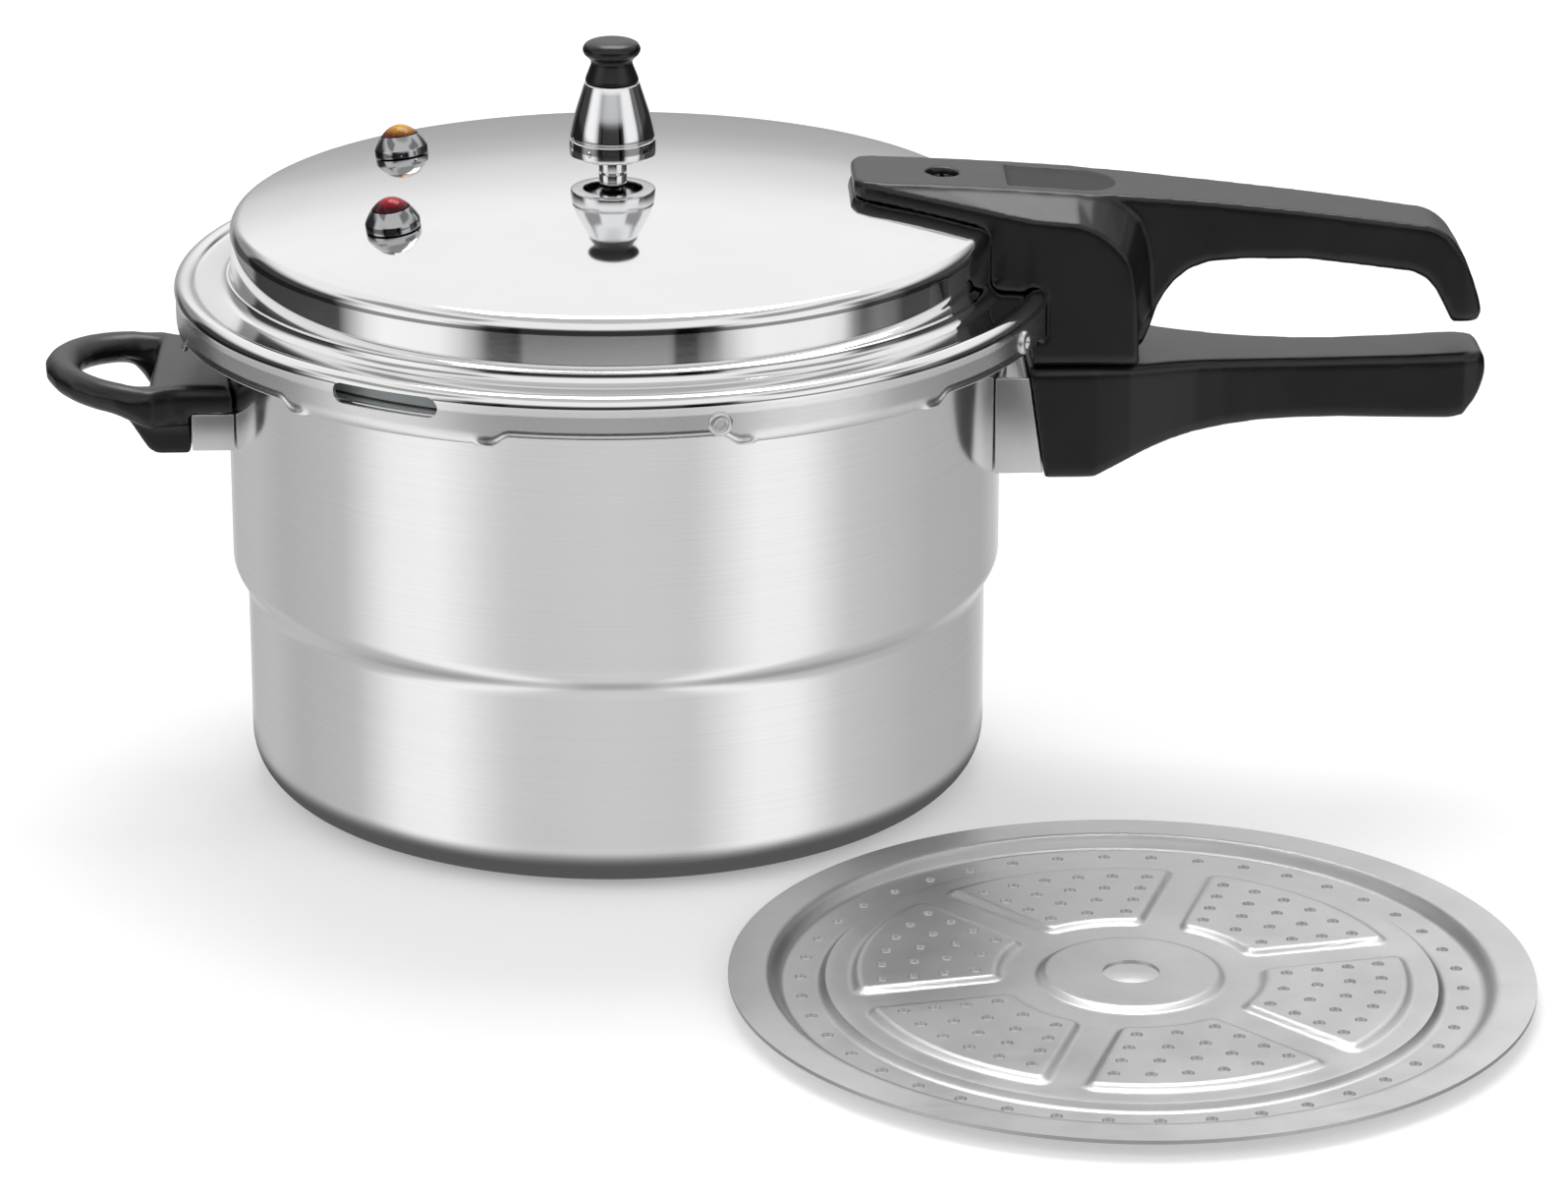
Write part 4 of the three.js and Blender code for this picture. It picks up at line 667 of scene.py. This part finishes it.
def handle_screw():
    """Pan-head screw with a cross recess, at the place of its solid."""
    low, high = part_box("lid_handle_screw")
    x, y = [(a + b) / 2 / MM for a, b in zip(low[:2], high[:2])]
    head = 2.6
    seat, foot = high.z / MM - head, low.z / MM
    bm = turned(
        [(0, foot), (2.5, foot), (2.5, seat), (4.6, seat, 0.2), (4.6, seat + 1.4, 1.2)]
        + [(3, seat + head, 1), (0, seat + head)],
        48,
    )
    for size in ((5.4, 1.3, head), (1.3, 5.4, head)):
        arm = bmesh.new()
        bmesh.ops.create_cube(arm, size=1)
        bmesh.ops.scale(arm, vec=size, verts=arm.verts)
        bmesh.ops.translate(arm, vec=(0, 0, seat + head), verts=arm.verts)
        bm = carved(bm, arm)
    bmesh.ops.translate(bm, vec=(x, y, 0), verts=bm.verts)
    return piece_of(bm, "lid_handle_screw_cross", "lid_handle_screw")


# Raised panels of the plate: number, radii, the bar between two of them, bearing and rise
PANELS, PANEL_OUT, PANEL_IN, PANEL_BAR, PANEL_TURN, PANEL_RISE = 6, 83.4, 38.0, 10.0, 72.0, 1.5
# Steam holes: radius, spacing of the panels' rows, and the ring in the channel
HOLE_R, HOLE_PITCH, CHANNEL_RING, CHANNEL_HOLES = 1.85, 9.3, 98.1, 42


def panel_depth(x, y):
    """Distance inside the outline of the nearest sector panel, with rounded corners."""
    r = math.hypot(x, y)
    pitch = 360 / PANELS
    off = (math.degrees(math.atan2(y, x)) - PANEL_TURN) % pitch - pitch / 2
    side = r * math.sin(math.radians(pitch / 2 - abs(off))) - PANEL_BAR / 2
    end = min(PANEL_OUT - r, r - PANEL_IN)
    corner = 4.0
    if side < corner and end < corner:
        return corner - math.hypot(corner - side, corner - end)
    return min(side, end)


def steam_holes():
    """Cutters for the ring of holes in the channel and the four rows in each panel."""
    holes = bmesh.new()
    pitch = 360 / PANELS
    spots = [(CHANNEL_RING, 360 * (i + 0.5) / CHANNEL_HOLES) for i in range(CHANNEL_HOLES)]
    for p in range(PANELS):
        middle = PANEL_TURN + pitch * (p + 0.5)
        for row, count in enumerate((6, 5, 4, 3)):
            r = PANEL_OUT - 9.5 - HOLE_PITCH * row
            reach = pitch / 2 - math.degrees(math.asin((PANEL_BAR / 2 + HOLE_PITCH * 0.75) / r))
            spots += [(r, middle + reach * (2 * i / (count - 1) - 1)) for i in range(count)]
    for r, angle in spots:
        turn_by = math.radians(angle)
        place = Matrix.Translation((r * math.cos(turn_by), r * math.sin(turn_by), 2))
        bmesh.ops.create_cone(
            holes, cap_ends=True, segments=12, radius1=HOLE_R, radius2=HOLE_R, depth=10, matrix=place
        )
    return holes


def steam_plate():
    """Pressed plate: flange, perforated channel, raised panels, and a raised hub with a hole."""
    hole, channel, floor, hub, flange = 8.5, 1.2, 3.2, 4.7, 5.2
    levels = [(hole, hub), (25.8, hub), (28, floor), (90.4, floor), (92.6, channel), (103.6, channel)]
    levels += [(108.2, flange), (PLATE_R, flange)]

    def level(r):
        for (r0, z0), (r1, z1) in zip(levels, levels[1:]):
            if r <= r1:
                return z0 + (z1 - z0) * eased(r, r0, r1)
        return flange

    steps = 100
    radii = [hole + (PLATE_R - hole) * i / steps for i in range(steps + 1)]
    bm = bmesh.new()
    outline(bm, [(r, level(r)) for r in radii])
    turn(bm, 420)
    for vert in bm.verts:
        if PANEL_IN < math.hypot(vert.co.x, vert.co.y) < PANEL_OUT:
            vert.co.z += PANEL_RISE * eased(panel_depth(vert.co.x, vert.co.y), 0, 2.6)
    for face in bm.faces:
        if face.normal.z < 0:
            face.normal_flip()
    bmesh.ops.solidify(bm, geom=bm.faces[:], thickness=PLATE_SHEET)
    bmesh.ops.recalc_face_normals(bm, faces=bm.faces)
    bm = carved(bm, steam_holes())
    bmesh.ops.translate(bm, vec=(PLATE_X, PLATE_Y, 0), verts=bm.verts)
    pressed = piece_of(bm, "steam_plate_pressed", "steam_plate", 40)
    # The photograph shows the plate apart, so the pot's wall doesn't mirror it
    pressed.visible_glossy = False
    return pressed


pot_shell()
lid_shell()
stop_rivet("stop_rivet_1", -24)
stop_rivet("stop_rivet_2", -77)
pressure_weight()
weight_knob()
valve_housing("float_housing", -1)
valve_housing("safety_housing", 1)
jewel("float_jewel", -1, [(0, JEWEL_SEAT)])
jewel("safety_plug", 1, [(0, VALVE_FOOT), (2, VALVE_FOOT), (2, JEWEL_SEAT)])
sealing_ring()
handle_screw()
steam_plate()
moulded("lid_handle", "lid_handle_moulding", 0.8, 6)
moulded("pot_handle", "pot_handle_moulding", 0.8, 8)
moulded("helper_handle", "helper_handle_moulding", 0.7, 16, lean_loop)
broken_edges("pot_handle_bracket", "pot_bracket_sheet", 0.4)
broken_edges("helper_bracket", "helper_bracket_sheet", 0.4)
vent_pipe()

# Studio: white surroundings, a pale table and broad panels that the metal mirrors.
# A bearing goes once round from 0 to 1, and 0.5 is towards the photograph's camera.
WALL_PANELS = [
    (0.0, 0.3), (0.118, 0.28), (0.126, 0.045), (0.25, 0.06), (0.256, 0.24), (0.268, 0.55),
    (0.282, 0.9), (0.3, 1.05), (0.352, 1.0), (0.37, 0.75), (0.384, 0.45), (0.396, 0.06),
    (0.421, 0.05), (0.426, 0.36), (0.546, 0.42), (0.55, 0.03), (0.566, 0.04), (0.572, 0.25),
    (0.588, 0.48), (0.605, 0.85), (0.62, 1.0), (0.68, 0.97), (0.698, 0.85), (0.71, 0.3),
    (0.72, 0.11), (0.737, 0.2), (0.755, 0.16), (0.766, 0.06), (0.9, 0.08), (1.0, 0.3),
]
FLOOR_GLOW = [
    (0.0, 0.9), (0.05, 0.5), (0.12, 0.56), (0.17, 0.49), (0.25, 0.57), (0.3, 0.98), (0.345, 1.02),
    (0.405, 0.69), (0.43, 0.66), (0.5, 0.69), (0.565, 0.67), (0.62, 1.01), (0.66, 0.99),
    (0.705, 0.64), (0.8, 0.5), (0.9, 0.45), (0.95, 0.6), (0.985, 0.9), (1.0, 0.9),
]
BACK_WALL = [(0.0, 0.4), (0.3, 0.46), (0.48, 0.56), (0.58, 0.68), (0.72, 0.8), (0.88, 0.95), (1.0, 1.0)]


def studio_seen_in_metal(w):
    """What a mirror sees in each direction: floor, panels in front, a room behind and a soft ceiling."""
    east, north, up = w.axes(w.node("ShaderNodeTexCoord", output="Generated"))
    bearing = east.math("ARCTAN2", east, 0 - north) / (2 * math.pi) + 0.5
    off = (bearing - 0.5) * (bearing - 0.5)
    panels = w.node("ShaderNodeValToRGB", {0: bearing}, stops=WALL_PANELS)
    room = w.node("ShaderNodeValToRGB", {0: (up + 0.1) / 0.5}, stops=BACK_WALL)
    floor = w.node("ShaderNodeValToRGB", {0: bearing}, stops=FLOOR_GLOW)
    # The panels darken near the floor and, straight ahead, above the horizon
    aside = off.ramp(0.006, 0.0085)
    low = up.ramp(-0.27, -0.25) - up.ramp(0.0, 0.08)
    high = up.ramp(-0.05, 0.05) - up.ramp(0.18, 0.3)
    dusk = (1 - 0.7 * up.ramp(-0.298, -0.296) * (1 - aside)) * (1 - 0.7 * low)
    dusk = dusk * (1 - 0.6 * high * (1 - aside))
    shaded = w.node(
        "ShaderNodeMix", {0: 1.0, 6: panels, 7: dusk}, output=2, data_type="RGBA", blend_type="MULTIPLY"
    )
    overhead = (up - 0.08 * off.ramp(0.01, 0.03)).ramp(0.19, 0.48)
    front = w.blend(overhead, shaded, grey(0.95))
    # Two grey flags up at the sides, which the weight shows in its image on the lid
    flags = (off.ramp(0.011, 0.02) - off.ramp(0.07, 0.095)) * (up.ramp(0.52, 0.62) - up.ramp(0.76, 0.84))
    front = w.blend(flags * 0.7, front, grey(0.1))
    behind = off.ramp(0.17, 0.2)
    level = up - 0.07 * off
    mirrored = w.blend(level.ramp(-0.3125, -0.3015), floor, w.blend(behind, front, room))
    return w.blend(up.ramp(0.85, 0.95), mirrored, grey(0.55))


def studio_world():
    """White to the camera, even light on the pieces, and the studio in the metal."""
    world = bpy.data.worlds.new("studio")
    bpy.context.scene.world = world
    world.use_nodes = True
    w = Nodes(world.node_tree)
    ray = w.node("ShaderNodeLightPath").socket.node.outputs
    camera_ray, glossy_ray = Wire(w, ray["Is Camera Ray"]), Wire(w, ray["Is Glossy Ray"])
    clear_ray = Wire(w, ray["Is Transmission Ray"])
    lighting = w.node("ShaderNodeBackground", {"Color": colour(0.62, 0.62, 0.63), "Strength": 1.0})
    studio = w.node("ShaderNodeBackground", {"Color": studio_seen_in_metal(w), "Strength": 1.0})
    white = w.node("ShaderNodeBackground", {"Color": grey(1), "Strength": 1.0})
    seen = w.node("ShaderNodeMixShader", {0: glossy_ray, 1: lighting, 2: studio})
    seen = w.node("ShaderNodeMixShader", {0: (camera_ray + clear_ray).ramp(0.4, 0.6), 1: seen, 2: white})
    w.node("ShaderNodeOutputWorld", {"Surface": seen})


def pale_table():
    """White table that keeps the shadow. Mirrors see a painted shade round the pot's foot, and past it the
    studio.
    """
    top = bmesh.new()
    bmesh.ops.create_grid(top, x_segments=1, y_segments=1, size=6)
    bmesh.ops.translate(top, vec=(0, 0, -0.0004), verts=top.verts)
    table = object_of(top, "table")
    pale = bpy.data.materials.new("pale_table")
    pale.use_nodes = True
    t = Nodes(pale.node_tree)
    ray = t.node("ShaderNodeLightPath").socket.node.outputs
    direct = Wire(t, ray["Is Camera Ray"]) + Wire(t, ray["Is Transmission Ray"])
    matt = t.node("ShaderNodeBsdfDiffuse", {"Color": grey(0.8)})
    painted_glow = t.node("ShaderNodeEmission", {"Color": grey(1), "Strength": direct.ramp(0.4, 0.6) * 0.28})
    lit = t.node("ShaderNodeAddShader", {0: matt, 1: painted_glow})
    x, y, _ = t.axes(t.place())
    past_foot = (x * x + y * y).ramp(0.118**2, 0.14**2)
    # Painted shade: a dark disc round the pot's foot that only mirrors see, standing in for the shade under the
    # pot
    shade = t.node("ShaderNodeEmission", {"Color": grey(0.1), "Strength": 1.0})
    shade = t.node("ShaderNodeMixShader", {0: past_foot, 1: shade, 2: t.node("ShaderNodeBsdfTransparent")})
    seen = t.node("ShaderNodeMixShader", {0: Wire(t, ray["Is Glossy Ray"]), 1: lit, 2: shade})
    t.node("ShaderNodeOutputMaterial", {"Surface": seen})
    table.data.materials.append(pale)


LAMP_AIM = Vector((0, 0, 0.1))


def lamp(name, place, size, power, mirrored=False):
    """Soft box aimed at the pot. Only a mirrored one shows in the metal."""
    light = bpy.data.lights.new(name, "AREA")
    light.shape, light.size, light.size_y, light.energy = "RECTANGLE", size[0], size[1], power
    made = bpy.data.objects.new(name, light)
    bpy.context.scene.collection.objects.link(made)
    made.location = place
    made.rotation_euler = (LAMP_AIM - Vector(place)).to_track_quat("-Z", "Y").to_euler()
    made.visible_camera = False
    made.visible_glossy = mirrored


studio_world()
pale_table()
lamp("top_light", (0.15, 1.0, 2.3), (1.5, 1.1), 26, True)
lamp("left_light", (-2.2, -1.0, 1.2), (1.2, 1.8), 14)
lamp("right_light", (2.0, -1.6, 1.3), (1.2, 1.8), 10)

# Camera of the photograph: a long lens a little above the lid. Width and focal length are in its pixels.
PHOTO_WIDTH, PHOTO_FOCAL, SENSOR = 1596, 6011, 36
CAMERA_PLACE, CAMERA_DIP, CAMERA_TURN = (0, -1.8, 0.69876), 19.68, -0.030
camera = bpy.data.cameras.new("camera")
camera.sensor_fit, camera.sensor_width = "HORIZONTAL", SENSOR
camera.lens = PHOTO_FOCAL * SENSOR / PHOTO_WIDTH
viewpoint = bpy.data.objects.new("camera", camera)
bpy.context.scene.collection.objects.link(viewpoint)
viewpoint.location = CAMERA_PLACE
viewpoint.rotation_euler = (math.radians(90 - CAMERA_DIP), 0, CAMERA_TURN)
bpy.context.scene.camera = viewpoint
bpy.context.scene.view_settings.view_transform = "Standard"
